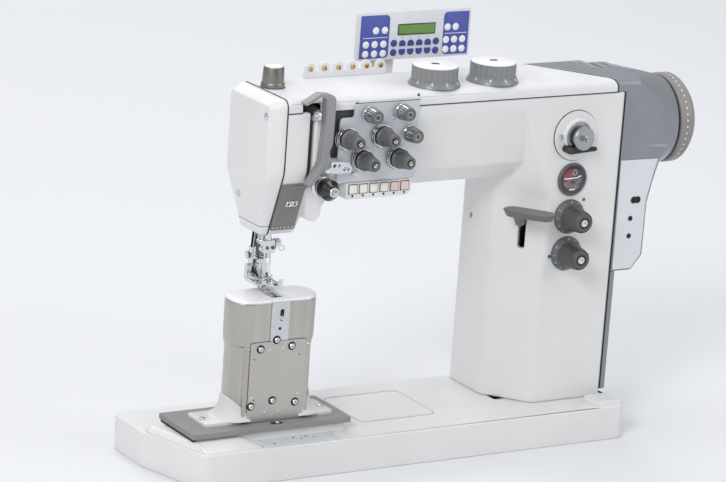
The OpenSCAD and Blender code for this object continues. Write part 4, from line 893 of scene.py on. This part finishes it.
def makeWinder(d):
    at = onFront(d["x"], d["z"])
    r, t = d["plate"], d["thick"]
    outline = Form().turn([(r + 0.9, 0), (r + 0.9, 0.7), (r + 0.1, 0.9), (r + 0.1, 0)], 72)
    outline.piece("winderOutline", at, "darkRing", slot="steel")
    boss = Form().turn([(22.5, t - 0.2), (22.5, t + 3), (21, t + 5), (18, t + 5.4), (17.6, t - 0.2)], 48)
    boss.piece("winderBoss", at @ Matrix.Translation(d["bossShift"]), "casting")
    ribs = Form()
    for k in range(d["ribs"]):
        ribs.plate(spun(d["rib"], 2 * math.pi * k / d["ribs"]), t + 1.0, t + 8.4)
    ribs.piece("winderRibs", at, "darkRing", "winder", "chrome")
    Form().turn(d["ring"], 56).piece("winderRing", at, "winderSteel", "winder", "chrome")
    Form().turn(d["disc"], 56).piece("winderDisc", at, "winderSteel", "winder", "chrome")
    clip = Form().wire([(*polar(d["clip"], a), d["clipOut"]) for a in range(20, 341, 20)], 0.5)
    clip.piece("winderClip", at, "springSteel", "winder", "chrome")
    Form().turn(d["pin"], 24).piece("winderLeverPin", onFront(*d["lever"]), "blackGloss", "winder_arm", "black")


makeWinder(winder)

# tension units: fluted nuts on the four large studs and fluted caps on the three small ones
tensions = {
    "x": -113.0, "z": 369.0, "y": -50.0, "length": 37.0, "capLength": 24.6, "spring": 15.6,
    "big": [(9, 59), (60, 59.5), (33, 30), (84.5, 29.5)], "small": [(40, 88), (87, 89), (101, 59.5)],
    "nut": [(3.2, 11.1, 0), (12.6, 11.1, 0), (12.9, 11.5, 0), (12.9, 13.4, 0), (12.3, 14.2, 0), (11.6, 14.8, 0.3),
            (11.4, 16.2, 1.1), (9.1, 30.4, 1.0), (8.9, 32.0, 0.3), (8.7, 32.8, 0), (8.2, 36.0, 0), (7.5, 36.9, 0),
            (5.0, 36.9, 0), (4.6, 36.4, 0), (4.5, 33.4, 0), (3.1, 33.2, 0)],
    "cap": [(8.6, 6.3, 0), (10.2, 6.6, 0), (10.3, 7.6, 0.2), (10.2, 9.0, 0.9), (8.8, 22.0, 0.8), (8.6, 23.4, 0.2),
            (8.0, 24.3, 0), (4.2, 24.5, 0), (3.8, 23.9, 0), (3.2, 23.8, 0)],
}


def makeTensions(d):
    plate = onFront(d["x"], d["z"], d["y"])
    end, capEnd = d["length"], d["capLength"]
    tips, caps, studs, springs = (Form() for k in range(4))
    for i, (x, z) in enumerate(d["big"]):
        nut = Form().flute(d["nut"], 22, spot=(x, z))
        made = nut.piece("tensionNut_%d" % (i + 1), plate, "tensionGrey", "tension_%d" % (i + 1), "knob")
        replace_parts(made, "tension_knob_%d" % (i + 1))
        tips.slotted(2.95, end - 0.6, end + 0.9, 0.9, 0.9, 0.5 + i, (x, z))
        # check spring behind the unit
        springs.wire([(*polar(d["spring"], a, (x, z)), 1.6) for a in range(150, 331, 15)], 0.55)
    for i, spot in enumerate(d["small"]):
        caps.flute(d["cap"], 18, spot=spot)
        studs.slotted(3.1, capEnd - 1.4, capEnd, 1.1, 0.9, 1.1 + i, spot)
    studs.piece("pretensionTips", plate, "darkSteel", slot="steel")
    caps.piece("pretensionCaps", plate, "capGrey", slot="knob")
    tips.piece("tensionTips", plate, "chrome")
    springs.piece("checkSprings", plate, "springSteel", slot="chrome")


makeTensions(tensions)
print("winder and tensions made")

# seams between head, covers and column, as thin dark cords: painted shade of the narrow gaps
seams = {
    "x": -187.0, "cord": 0.55, "z": 462.0, "front": -46.9, "back": 70.9, "notch": (-166.0, -140.0),
    "coverEnd": 308.0, "coverBack": 226.0, "depth": 118.0,
    "face": [(-47, 479, 11), (-47, 385, 40), (-14, 298, 6), (37, 298, 6), (71, 385, 40), (71, 479, 12)],
    "top": [(-47, 462, 0), (-47, 479, 11), (71, 479, 12), (71, 462, 0)],
    "column": (320.3, -46.8), "columnLow": 55.0, "columnCord": 0.8,
}


def makeSeams(d):
    x, r, z = d["x"], d["cord"], d["z"]
    form = Form().wire([(x, y * 0.998, h) for y, h in softOutline(d["face"])], r, loop=True)
    a, b = d["notch"]
    for x0, x1, y in ((x, a, d["front"]), (b, d["coverEnd"], d["front"]), (x, d["coverBack"], d["back"])):
        form.wire([(x0, y, z), (x1, y, z)], r)
    lean = (d["coverBack"] - d["coverEnd"]) / d["depth"]
    form.wire([(d["coverEnd"] + lean * (y + 47), y, h) for y, h in softOutline(d["top"])], r)
    form.wire([(*d["column"], d["columnLow"]), (*d["column"], z)], d["columnCord"])
    form.piece("seamCords", toMetres, "recess", slot="black")


makeSeams(seams)

# floor of the opening between the guard and the tension plate, dark grey as painted shade of that hollow
opening = {
    "outline": [(-121.5, 400.6), (-107.5, 400.6), (-107.5, 438.6), (-87.6, 438.6), (-87.6, 461), (-121.5, 461)],
    "deep": (-5.4, -3.6),
}
floor = Form().plate(opening["outline"], *opening["deep"])
floor.piece("openingShade", onFront(0, 0), "openingGrey", slot="black", smooth=False)

# sloping plate: u along the machine, v up the slope
slope = {
    "place": (-179.0, -30.6, 334.5), "up": (0, -33, 87), "eyes": [(8.0, 9.0), (17.0, 9.0)], "plate": (12.5, 9),
    "lip": (9.7, 34.5), "rivets": [(-4 + k * 5.4, -27.5) for k in range(6)],
}


def makeHeadPlate(d):
    at = axesAt(d["place"], (1, 0, 0), d["up"])
    Form().plate(roundRect(17, 8.5, 2.5, 4, d["plate"]), -0.2, 0.9, 0.3).piece("eyeletPlate", at, "steel")
    rings = Form()
    for eye in d["eyes"]:
        rings.wire([(*p, 1.5) for p in circle(2.7, 24, eye)], 0.95, 10, loop=True)
    rings.piece("eyeletRings", at, "chrome")
    # black hollows of the two eyelets: painted shade in the holes
    hollows = Form().turn([(1.9, 0.8), (1.9, 1.0), (0, 1.05)], 20, *d["eyes"])
    hollows.piece("eyeletHollows", at, "recess", slot="black")
    Form().plate(roundRect(33.4, 3.6, 0.8, 3, d["lip"]), -0.5, 1.3, 0.4).piece("plateLip", at, "plastic_grey")
    Form().turn([(1.0, 0), (1.0, 0.35), (0, 0.45)], 12, *d["rivets"]).piece("plateRivets", at, "chrome")


makeHeadPlate(slope)

# bent clip on the tension plate, with the guide holes
threadClip = {
    "y": -60.0,
    "outline": [(-128, 401), (-103, 398.5), (-97.5, 390), (-99.3, 385), (-118.8, 384.5), (-136, 387.5),
                (-136, 390.5), (-128.5, 392.5)],
    "holes": [(-123.3, 395.4, 2.3), (-116.6, 394.8, 2.0), (-108.4, 390.2, 2.2), (-103.4, 389.4, 1.9)],
    "bend": [(-117, 384.7), (-100, 385), (-100, 386.6), (-117, 386.3)], "foot": (-108.5, 391),
    "hook": [(-131, 388.5, 0.6), (-134, 384, 1.5), (-130, 379, 2.0), (-124, 378.5, 1.0), (-121, 381, 0.2)],
}


def makeClip(d):
    at = onFront(0, 0, d["y"])
    clip = Form().sheet(d["outline"], d["holes"], -0.8, 0.8).bevel(0.6, 0.3, 2)
    clip.plate(d["bend"], -9.6, 0.4).plate(roundRect(20, 12, 2, 4, d["foot"]), -10.2, -9.2, 0.2)
    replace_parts(clip.piece("threadClip", at, "chrome", angle=30), "thread_guides")
    rims = Form()
    for x, z, r in d["holes"]:
        rims.wire([(*p, 0.9) for p in circle(r + 0.2, 20, (x, z))], 0.45, loop=True)
    rims.wire(d["hook"], 0.7).piece("clipRims", at, "springSteel", slot="chrome")


makeClip(threadClip)

# knob under the guard: chrome seat, knurled ring and slotted end
winderKnob = {
    "x": -132.0, "z": 366.0,
    "seat": [(14.2, 0.35), (14.9, 0.9), (14.9, 1.9), (14.2, 2.5), (9.3, 3.9), (9.2, 3.2)],
    "washer": [(9.6, 6.2), (13.2, 7.6), (13.9, 8.2), (13.9, 9.4), (13.2, 9.9)],
    "knurl": [(11.6, 3.4, 0), (12.2, 3.8, 0.7), (12.2, 6.2, 0.7), (11.4, 6.6, 0)],
    "tip": [(6.4, 29.4), (6.5, 31.6), (6.0, 32.2), (4.1, 32.2), (3.9, 31.4), (0, 31.2)],
}


def makeWinderKnob(d):
    at = onFront(d["x"], d["z"])
    Form().turn(d["seat"], 56).turn(d["washer"], 56).piece("windKnobSeat", at, "chrome", "winder_tension")
    Form().flute(d["knurl"], 40, 4).piece("windKnobKnurl", at, "darkRing", "winder_tension", "black")
    tip = Form().turn(d["tip"], 36).slotted(3.6, 31.2, 32.6, 0.9, 0.9, 0.4)
    tip.piece("windKnobTip", at, "chrome", "winder_tension")


makeWinderKnob(winderKnob)

# frames, lamps and pads of the push buttons
buttons = {
    "x": -90.0, "pitch": 15.2, "count": 6, "firstRed": 4, "z": 361.0, "y": -53.0, "side": 11.0, "frame": (0.3, 0.9),
    "lampZ": 352.0, "lamp": [(1.5, 0), (1.5, 0.3), (1.0, 0.55), (0, 0.6)], "pad": 7.6,
}


def makeButtons(d):
    at = onFront(d["x"], d["z"], d["y"])
    steps = [i * d["pitch"] for i in range(d["count"])]
    i, o = (d["side"] / 2 + edge for edge in d["frame"])
    frames = Form()
    for u in steps:
        for x0, x1, z0, z1 in ((-o, o, -o, -i), (-o, o, i, o), (-o, -i, -i, i), (i, o, -i, i)):
            frames.plate(rect(u + x0, u + x1, z0, z1), -0.3, 0.5)
    frames.piece("buttonFrames", at, "buttonRim", slot="black", smooth=False)
    lamps = Form().turn(d["lamp"], 16, *[(u, d["lampZ"] - d["z"]) for u in steps])
    lamps.piece("buttonLamps", at, "markDark", slot="black")
    for k, u in enumerate(steps):
        finish, slot = ("buttonFace", "button") if k < d["firstRed"] else ("buttonWarm", "button_red")
        pad = Form().plate(roundRect(d["pad"], d["pad"], 0.9, 4, (u, 0)), 1.5, 1.85, 0.12)
        pad.piece("buttonPad_%d" % (k + 1), at, finish, "button_%d" % (k + 1), slot)


makeButtons(buttons)
print("head details made")


def makeDialGrips(d):
    for name, z in d["z"].items():
        grip = Form().flute(d["grip"], 11, 8)
        grip.piece("dialGrip_" + name, onFront(d["x"], z, d["y"]), "dialGrip", "dial_" + name, "knob")


makeDialGrips(stitchDials)

# jacks in the motor's panel: place and radius of each
jacks = {"y": -49.0, "spots": [(347, 314, 3.9), (353, 314, 3.9), (344, 289, 2.6), (344, 265, 2.6)]}


def makeJacks(d):
    rims, holes = Form(), Form()
    for x, z, r in d["spots"]:
        rim = [(r + 0.9, -0.3), (r + 0.9, 0.5), (r + 0.3, 0.9), (r - 0.6, 0.9), (r - 0.9, -1.5)]
        rims.turn(rim, 28, (x, z))
        holes.turn([(r - 0.7, -1.4), (r - 0.7, 0.3), (0, 0.2)], 24, (x, z))
    rims.piece("jackRims", onFront(0, 0, d["y"]), "black")
    # black plug in each jack: painted shade inside the socket
    holes.piece("jackHoles", onFront(0, 0, d["y"]), "recess", slot="black")


makeJacks(jacks)

# handwheel: white marks round its rim, screws and cap on its hub, and a black disc in the gap to the motor as painted
# shade of that gap
handwheel = {
    "x": 427.0, "y": 15.0, "z": 407.0, "r": 60.0, "marks": 44, "dot": 1.15, "end": 438.0, "gap": 414.0,
    "screws": (28, 3, 0.5), "screw": [(4.2, -0.2), (4.2, 1.6), (3.7, 2.1), (2.2, 2.1)],
    "socket": [(2.2, 2.1), (2.1, 0.6), (0, 0.5)],
    "cap": [(15, 3.8), (15, 4.6), (14, 5.2), (10, 5.4), (9.4, 4.8), (0, 4.7)],
    "gapShade": [(30, -0.4), (56.5, -0.4), (56.5, 2.6), (55.5, 3.2), (30, 3.2)],
}


def makeHandwheel(d):
    dots, r = Form(), d["dot"]
    across = Vector((1, 0, 0))
    for c, s in circle(1, d["marks"]):
        out = Vector((0, c, s))
        place = Vector((d["x"], d["y"], d["z"])) + out * (d["r"] - 0.1)
        dot = Form().turn([(r, 0), (r, 0.25), (r * 0.7, 0.4), (0, 0.45)], 12)
        dots.add(dot, axesAt(place, across, out.cross(across)))
    dots.piece("wheelMarks", asIs, "markWhite", "drive", "motor")
    at = onRight(d["y"], d["z"], d["end"])
    radius, count, first = d["screws"]
    spots = spun(circle(radius, count), first)
    screws = Form().turn(d["screw"], 28, *spots).turn(d["socket"], 6, *spots)
    screws.piece("wheelScrews", at, "chrome", "drive")
    Form().turn(d["cap"], 40).piece("wheelHubCap", at, "black", "drive")
    # black disc in the gap between wheel and motor: painted shade of the gap
    Form().turn(d["gapShade"], 72).piece("wheelGapShade", onRight(d["y"], d["z"], d["gap"]), "recess", slot="black")


makeHandwheel(handwheel)

# vents: black floor as painted shade inside each slot, and raised lips along each slot
vents = {"x": 306.0, "pitch": 14.0, "w": 5.0, "y": (15.0, 53.0), "count": 5, "z": 467.5, "lip": 1.1, "cord": 0.75}


# height of a shell's surface below a point, in millimetres
def topOf(shell, x, y):
    hit, place = shell.ray_cast(Vector((x, y, 700)) / 1000, Vector((0, 0, -1)))[:2]
    return place.z * 1000 if hit else 480.0


def makeVents(d):
    floors, lips = Form(), Form()
    y0, y1 = d["y"]
    for i in range(d["count"]):
        left = d["x"] + i * d["pitch"]
        right = left + d["w"]
        floors.plate(rect(left + 0.1, right - 0.1, y0 + 0.1, y1 - 0.1), -2.4, 0.0)
        for edge in (left - d["lip"], right + d["lip"]):
            run = [(edge, y0 - 1 + k * (y1 - y0 + 2) / 8) for k in range(9)]
            lips.wire([(*spot, topOf(shells["motor_cover"], *spot)) for spot in run], d["cord"])
    floors.piece("ventFloorShade", onTop(0, 0, d["z"]), "recess", slot="black", smooth=False)
    lips.piece("ventLips", toMetres, "motorLip", slot="motor")


makeVents(vents)
print("motor details made")

# fasteners: socket screws and plugs of the post, then slotted heads with radius, place and turn
fasteners = {
    "post": [(-205, 160), (-160, 160.5), (-182.5, 170.4), (-183.6, 90.6), (-150.7, 85.7), (-214.3, 85.5)],
    "plugs": [(-192.5, 158.8), (-173.3, 159.8), (-194.3, 75.2), (-174.1, 75.3), (-214.4, 96.7), (-149, 96.7)],
    "postY": -47.5, "socket": 3.6, "high": 2.2, "plug": [(1.9, -0.2), (1.9, 0.15), (1.5, 0.35), (0, 0.4)],
    "ring": [(5.5, -0.1), (5.5, 0.25), (5.1, 0.45), (3.65, 0.45), (3.65, -0.1)],
    "slotted": [
        (4.2, onTop(-269.0, -23, 67), 0.3), (4.2, onTop(-97.0, -23, 67), 1.1),
        (3.2, onFront(-88.0, 380.0, -50), 0.9), (3.0, onFront(-37.5, 451.6, -50), 0.5),
        (3.4, onFront(221.0, 408.0, -49.5), 0.2), (4.6, onLeft(-32.0, 457.0, -209.0), 0.8),
        (4.6, onLeft(32.0, 343.3, -205.4) @ Matrix.Rotation(math.radians(9.3), 4, "X"), 2.3),
    ],
}


def slotHead(r, turn, high=2.0):
    return Form().slotted(r, -0.3, high, max(0.9, r * 0.26), 1.1, turn)


def makeFasteners(d):
    heads, rings = Form(), Form()
    r, h = d["socket"], d["high"]
    for x, z in d["post"]:
        at = onFront(x, z, d["postY"])
        head = Form().turn([(r, -0.4), (r, h - 0.5), (r - 0.5, h), (r * 0.52, h)], 32)
        heads.add(head.turn([(r * 0.52, h), (r * 0.5, h - 1.5), (0, h - 1.7)], 6), at)
        rings.add(Form().turn(d["ring"], 32), at)
    for x, z in d["plugs"]:
        heads.add(Form().turn(d["plug"], 18), onFront(x, z, d["postY"]))
    for radius, at, turn in d["slotted"]:
        heads.add(slotHead(radius, turn), at)
    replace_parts(heads.piece("fasteners", asIs, "chrome"), "screws")
    # black rings round the post's socket screws: painted shade of the counterbores
    rings.piece("counterbores", asIs, "recess", slot="black")


makeFasteners(fasteners)

# nub under the head, blended into the arm
headNub = {
    "x": -134.0, "z": 328.0, "r": 11.0, "front": -33.0, "back": 35.0, "reach": 25.5, "rise": 18.5, "top": 364.0,
    "edge": 2.2,
}


def makeNub(d):
    x, z, r, reach = d["x"], d["z"], d["r"], d["reach"]
    right = x + r + reach
    outline = [(x - r - 2, d["top"]), (x - r - 0.6, z + 12)]
    outline += [polar(r, a, (x, z)) for a in range(178, 361, 13)]
    for c, s in (polar(1, 90 * k / 8) for k in range(9)):
        outline.append((right - reach * c, z + 3 + d["rise"] * s))
    form = Form().plate(outline + [(right, d["top"])], 0, d["back"] - d["front"]).bevel(1.2, d["edge"], 4, clamp=True)
    form.piece("headNub", onFront(0, 0, d["back"]), "casting", angle=40)


makeNub(headNub)

# post: flange with a collar round each end, the two sliding top plates, and the small parts of strip and plates
post = {
    "x": -179.0, "y": -19.0, "w": 121.0, "d": 56.0, "r": 24.0, "lowW": 117.0, "lowD": 52.0, "flangeZ": 63.0,
    "flangeT": 4.0, "flange": (185.0, 51.0, 5.0, -4.0), "rise": 29.0, "thick": 2.0, "reach": 17.0, "least": 3.0,
    "frame": 47.3, "plateZ": 220.0, "topZ": 223.0, "ease": 2.5, "inner": 13.3,
    "strip": (-177.0, 199.0, -47.4), "catch": (-180.0, -55.5, 63.0), "endShadeStrip": (-300.4, -19.0, 52.7),
    "catchPin": [(2.9, -0.2), (2.9, 0.7), (2.3, 1.2), (1.0, 1.2), (0.9, 0.6), (0, 0.6)], "slideZ": 45.0,
    "slideHoles": [(-161, -68, 2.0), (-152, -73, 1.8), (-143, -68, 2.0), (-134, -73, 1.8), (-195, -80, 2.0)],
}


# places and outward directions round one end of a rounded plan, from the front round to the back
def endPlan(w, d, r, start, steps=12):
    done = [((start, -d / 2), (0, -1))]
    for y, first in ((r - d / 2, -90), (d / 2 - r, 0)):
        turns = [first + 90 * k / steps for k in range(steps + 1)]
        done += [(polar(r, a, (w / 2 - r, y)), polar(1, a)) for a in turns]
    return done + [((start, d / 2), (0, 1))]


def addCollar(form, d, side):
    floor = d["flangeZ"] + d["flangeT"] - 0.3
    t, least = d["thick"], d["least"]
    rows = []
    for (x, y), (nx, ny) in endPlan(d["lowW"], d["lowD"], d["r"], d["frame"]):
        out = max(0.0, nx)
        rise = least + (d["rise"] - least) * out ** 0.8
        reach = least + (d["reach"] - least) * out ** 1.5
        spots = [(0.05, floor + rise), (t * 0.6, floor + rise + 0.1), (t, floor + rise - 0.5)]
        spots += [(t + reach * (1 - c), floor + rise * (1 - s)) for c, s in (polar(1, 90 * k / 8) for k in range(1, 9))]
        rows.append([(d["x"] + side * (x + nx * o), d["y"] + y + ny * o, h) for o, h in spots])
    made = form.skin(rows, around=False)
    form.close(made[0], made[-1][::-1])


def coverForm(d, side):
    ease, top = d["ease"], d["topZ"]
    levels = [(0.0, d["plateZ"])] + [(ease * (1 - c), top - ease + ease * s)
                                     for c, s in (polar(1, 90 * k / 5) for k in range(6))]
    plan = endPlan(d["w"], d["d"], d["r"], d["inner"])
    form = Form()
    made = form.skin([[(d["x"] + side * (x - nx * o), d["y"] + y - ny * o, h) for (x, y), (nx, ny) in plan]
                      for o, h in levels], around=False)
    return form.close(made[-1], made[0], [row[0] for row in made] + [row[-1] for row in made[::-1]])


def makePost(d):
    length, width, corner, shift = d["flange"]
    outline = roundRect(length, width, corner, 6, (d["x"] + shift, d["y"]))
    flange = Form().plate(outline, d["flangeZ"], d["flangeZ"] + d["flangeT"], 1.0)
    for side in (-1, 1):
        addCollar(flange, d, side)
    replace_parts(flange.piece("postFlange", toMetres, "flangePaint", slot="casting", angle=50), "post_flange")
    for side, name in ((-1, "left"), (1, "right")):
        made = coverForm(d, side).piece("hookCover_" + name, toMetres, "topPlate", "hook_cover_" + name[0], "steel")
        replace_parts(made, "hook_cover_" + name)
    # clamp screw in the strip's slot, and black fills of the slot and the hole below it as painted shade in them
    at = onFront(*d["strip"])
    Form().slotted(3.2, -1.2, 1.0, 0.9, 0.9, 0.8).piece("stripScrew", at, "chrome")
    slot = Form().turn([(2.1, -0.3), (2.1, 0.12), (0, 0.15)], 20, (-2, -14))
    slot.plate(roundRect(5.6, 16, 2.8, 6, (0, 3.5)), -0.3, 0.14).piece("stripSlot", at, "recess", slot="black")
    # catch in the rubber plate with its black well as painted shade of the recess, and a black strip under the rubber's
    # end as painted shade of the gap beneath it
    at = onTop(*d["catch"])
    Form().plate(roundRect(17, 9, 4, 6), -0.6, 0.12).piece("catchWell", at, "recess", slot="black")
    Form().turn(d["catchPin"], 24, (1.2, 0)).piece("catchPin", at, "chrome")
    endShadeStrip = Form().plate(roundRect(5, 88, 1.5, 4), 0, 3.4, 0.4)
    endShadeStrip.piece("rubberEndShade", onTop(*d["endShadeStrip"]), "recess", slot="black")
    # holes in the slide plate: black discs as painted shade in them, and rims round them
    rims, holes = Form(), Form()
    for x, y, r in d["slideHoles"]:
        holes.turn([(r, -0.3), (r, 0.1), (0, 0.12)], 18, (x, y))
        rims.wire([(*p, 0.05) for p in circle(r + 0.25, 18, (x, y))], 0.28, 6, loop=True)
    holes.piece("slideHoles", onTop(0, 0, d["slideZ"]), "recess", slot="black")
    rims.piece("slideRims", onTop(0, 0, d["slideZ"]), "slideSteel", slot="steel")


makePost(post)
print("post made")

# presser foot, inner foot and needle clamp
feet = {
    "x": -179.0, "needleY": -4.0, "innerY": 9.0, "presserY": 23.0, "z": 230.0, "toeX": 12, "toeHalf": 3,
    "thumb": [(3.2, 0, 0), (4.9, 0.6, 0.4), (5.2, 1.4, 0.6), (5.2, 5.6, 0.6), (4.6, 6.6, 0.3), (3.0, 7.0, 0),
              (0.01, 7.0, 0)],
    "presserCollar": [(5.2, 48), (7.2, 48.4), (7.5, 49), (7.5, 57), (7.2, 57.6), (5.2, 58)],
    "toe": [(-12, 3.2), (-16, 3.6), (-19, 5.2), (-21, 8.0), (-21.8, 11.0)],
    "rivet": [(2.0, 9.0), (2.0, 10.4), (1.5, 10.9), (0, 10.9)], "springR": 5.3, "springZ": (31, 19), "turns": 6,
    "innerCollar": [(4.1, 50.4), (5.6, 50.6), (5.8, 51), (5.8, 55), (5.5, 55.4), (4.1, 55.6)],
    "loop": [(15.2, -7.5, 53), (17.5, -9.5, 52), (17.5, -11, 48.5), (14, -11, 46.5), (11.5, -9, 48), (11.5, -7.0, 51)],
}


def makeFeet(d):
    x, z, wide, half = d["x"], d["z"], d["toeX"], d["toeHalf"]
    needle, inner, presser = (onTop(x, d[key], z) for key in ("needleY", "innerY", "presserY"))
    # thumb screw, clamp collar and turned-up toes of the presser foot
    Form().flute(d["thumb"], 18, 4).piece("presserScrew", onLeft(24, z + 33, x - 8), "chrome", "presser_foot")
    Form().turn(d["presserCollar"], 36).piece("presserCollar", presser, "steel", "presser_foot")
    toes, rails = Form(), Form()
    for side in (-wide, wide):
        for (y0, z0), (y1, z1) in zip(d["toe"], d["toe"][1:]):
            quad = [(y0, z0 - 3), (y1, z1 - 3), (y1 + 0.5, z1), (y0 + 0.2, z0)]
            toes.close(*toes.skin([[(x + side + dx, y, z + h) for y, h in quad] for dx in (-half, half)]))
        rails.plate(roundRect(5.2, 16, 1.4, 4, (side, 1)), 6.0, 9.5, 0.8).turn(d["rivet"], 18, (side, 4))
    toes.piece("presserToes", toMetres, "chrome", "presser_foot", angle=50)
    rails.piece("presserRails", onTop(x, d["needleY"] + 14, z), "chrome", "presser_foot")
    # spring round the inner foot's bar
    (low, rise), steps = d["springZ"], 20 * d["turns"]
    coil = [(*polar(d["springR"], 360 * k / 20), low + rise * k / steps) for k in range(steps + 1)]
    Form().wire(coil, 0.75).piece("innerSpring", inner, "darkSteel", "inner_foot", "steel")
    Form().turn(d["innerCollar"], 32).piece("innerCollar", inner, "chrome", "inner_foot")
    # thread guide and set screws on the needle clamp
    guide = Form().plate(roundRect(7, 10, 1.2, 4, (11.5, -2.5)), 51.5, 60, 0.8)
    guide.piece("needleGuide", needle, "chrome", "needles")
    Form().wire(d["loop"], 0.6).piece("needleGuideWire", needle, "springSteel", "needles", "chrome")
    screws = Form()
    for dx in (-4, 4):
        screws.add(Form().slotted(2.3, -0.2, 1.3, 0.7, 0.8, 0.4 + dx), onFront(x + dx, z + 50, d["needleY"] - 5.5))
    screws.piece("needleScrews", asIs, "darkSteel", "needles", "steel")


makeFeet(feet)
print("feet and fasteners made")

# plain finish behind: cover plate on the column, plugs in the arm, screws, and the panel's back
behind = {
    "columnPlate": (243.0, 250.0, 118.0, 330.0), "y": 93.0, "armY": 71.0,
    "plugs": [(-120.0, 420.0), (0.0, 420.0), (110.0, 420.0)],
    "plug": [(8.5, -0.3), (8.5, 1.2), (7.6, 1.9), (3.2, 1.9)], "socket": [(3.2, 1.9), (3.1, 0.5), (0, 0.4)],
    "sideCover": (329.0, (-37.0, 54.0), (64.0, 206.0)), "panel": (68.5, 522.5), "panelScrews": (70, 22),
}


def makeBehind(d):
    x, z, w, h = d["columnPlate"]
    Form().plate(roundRect(w, h, 9, 6), -0.2, 1.6, 0.6).piece("columnBackPlate", onBack(x, z, d["y"]), "casting")
    heads = Form()
    for dx in (-1, 1):
        for dz in (-1, 0, 1):
            at = onBack(x + dx * (w / 2 - 8), z + dz * (h / 2 - 9), d["y"] + 1.6)
            heads.add(slotHead(4.0, 0.7 * dz + dx, 1.6), at)
    for spot in d["plugs"]:
        heads.add(Form().turn(d["plug"], 36).turn(d["socket"], 6), onBack(*spot, d["armY"]))
    side, ys, zs = d["sideCover"]
    for y in ys:
        for low in zs:
            heads.add(slotHead(3.6, 0.05 * y, 1.6), onRight(y, low, side))
    (px, pz), (wide, high) = d["panel"], d["panelScrews"]
    for dx in (-wide, wide):
        for dz in (-high, high):
            heads.add(slotHead(2.6, 0.4 + dx, 1.2), onBack(px + dx, pz + dz, d["y"]))
    heads.piece("backFasteners", asIs, "chrome")
    Form().plate(roundRect(150, 48, 5), -0.2, 0.7, 0.25).piece("panelBackInset", onBack(px, pz, d["y"]), "panel")


makeBehind(behind)
print("back made")

# studio: pale floor, soft lamps and a sky with broad bands for the metals to reflect
studio = {
    "floor": (225, 226, 229), "floorSize": 12, "world": 0.56, "sky": (0.95, 0.97, 1.0), "bands": 5.0, "contrast": 0.75,
    # name, place, aim, size and power
    "lamps": [
        ("key", (-4.9, -3.7, 4.4), (0.0, 0.0, 0.25), 2.55, 192),
        ("fill", (4.2, -3.9, 2.9), (0.0, 0.0, 0.25), 3.2, 56),
        ("top", (0.0, 0.6, 4.7), (0.0, 0.0, 0.2), 3.3, 58),
        ("back", (0.9, 4.8, 3.7), (0.0, 0.0, 0.3), 2.9, 52),
    ],
}


class Sky(Paint):
    def __init__(self, world):
        world.use_nodes = True
        self.tree = world.node_tree
        self.shader = self.tree.nodes["Background"]

    def place(self, scale=(1, 1, 1)):
        return self.node("ShaderNodeTexCoord", {}, out="Generated")


def lightStudio(s):
    scene.world = bpy.data.worlds.new("world")
    sky = Sky(scene.world)
    x, y, z = sky.axes()
    band = (x * s["bands"] + y * 1.5).sine() * 0.5 + 0.5
    lift = z.between(-0.1, 0.9)
    sky.give("Color", s["sky"])
    sky.give("Strength", s["world"] * ((0.75 + 0.5 * lift) * (1 - s["contrast"] / 2 + s["contrast"] * band)))
    for name, place, aim, size, power in s["lamps"]:
        lamp = linked(name, settle(bpy.data.lights.new(name, "AREA"), shape="DISK", size=size, energy=power))
        lamp.location = place
        lamp.rotation_euler = (Vector(aim) - Vector(place)).to_track_quat("-Z", "Y").to_euler()
    mesh = bpy.data.meshes.new("floor")
    build = bmesh.new()
    bmesh.ops.create_grid(build, x_segments=1, y_segments=1, size=s["floorSize"])
    build.to_mesh(mesh)
    build.free()
    floor = linked("floor", mesh)
    p = Paint("paleFloor", 0.9)
    p.give("Specular IOR Level", 0.1)
    p.give("Base Color", linear(*s["floor"]))
    mesh.materials.append(p.material)


lightStudio(studio)
print("studio lit")
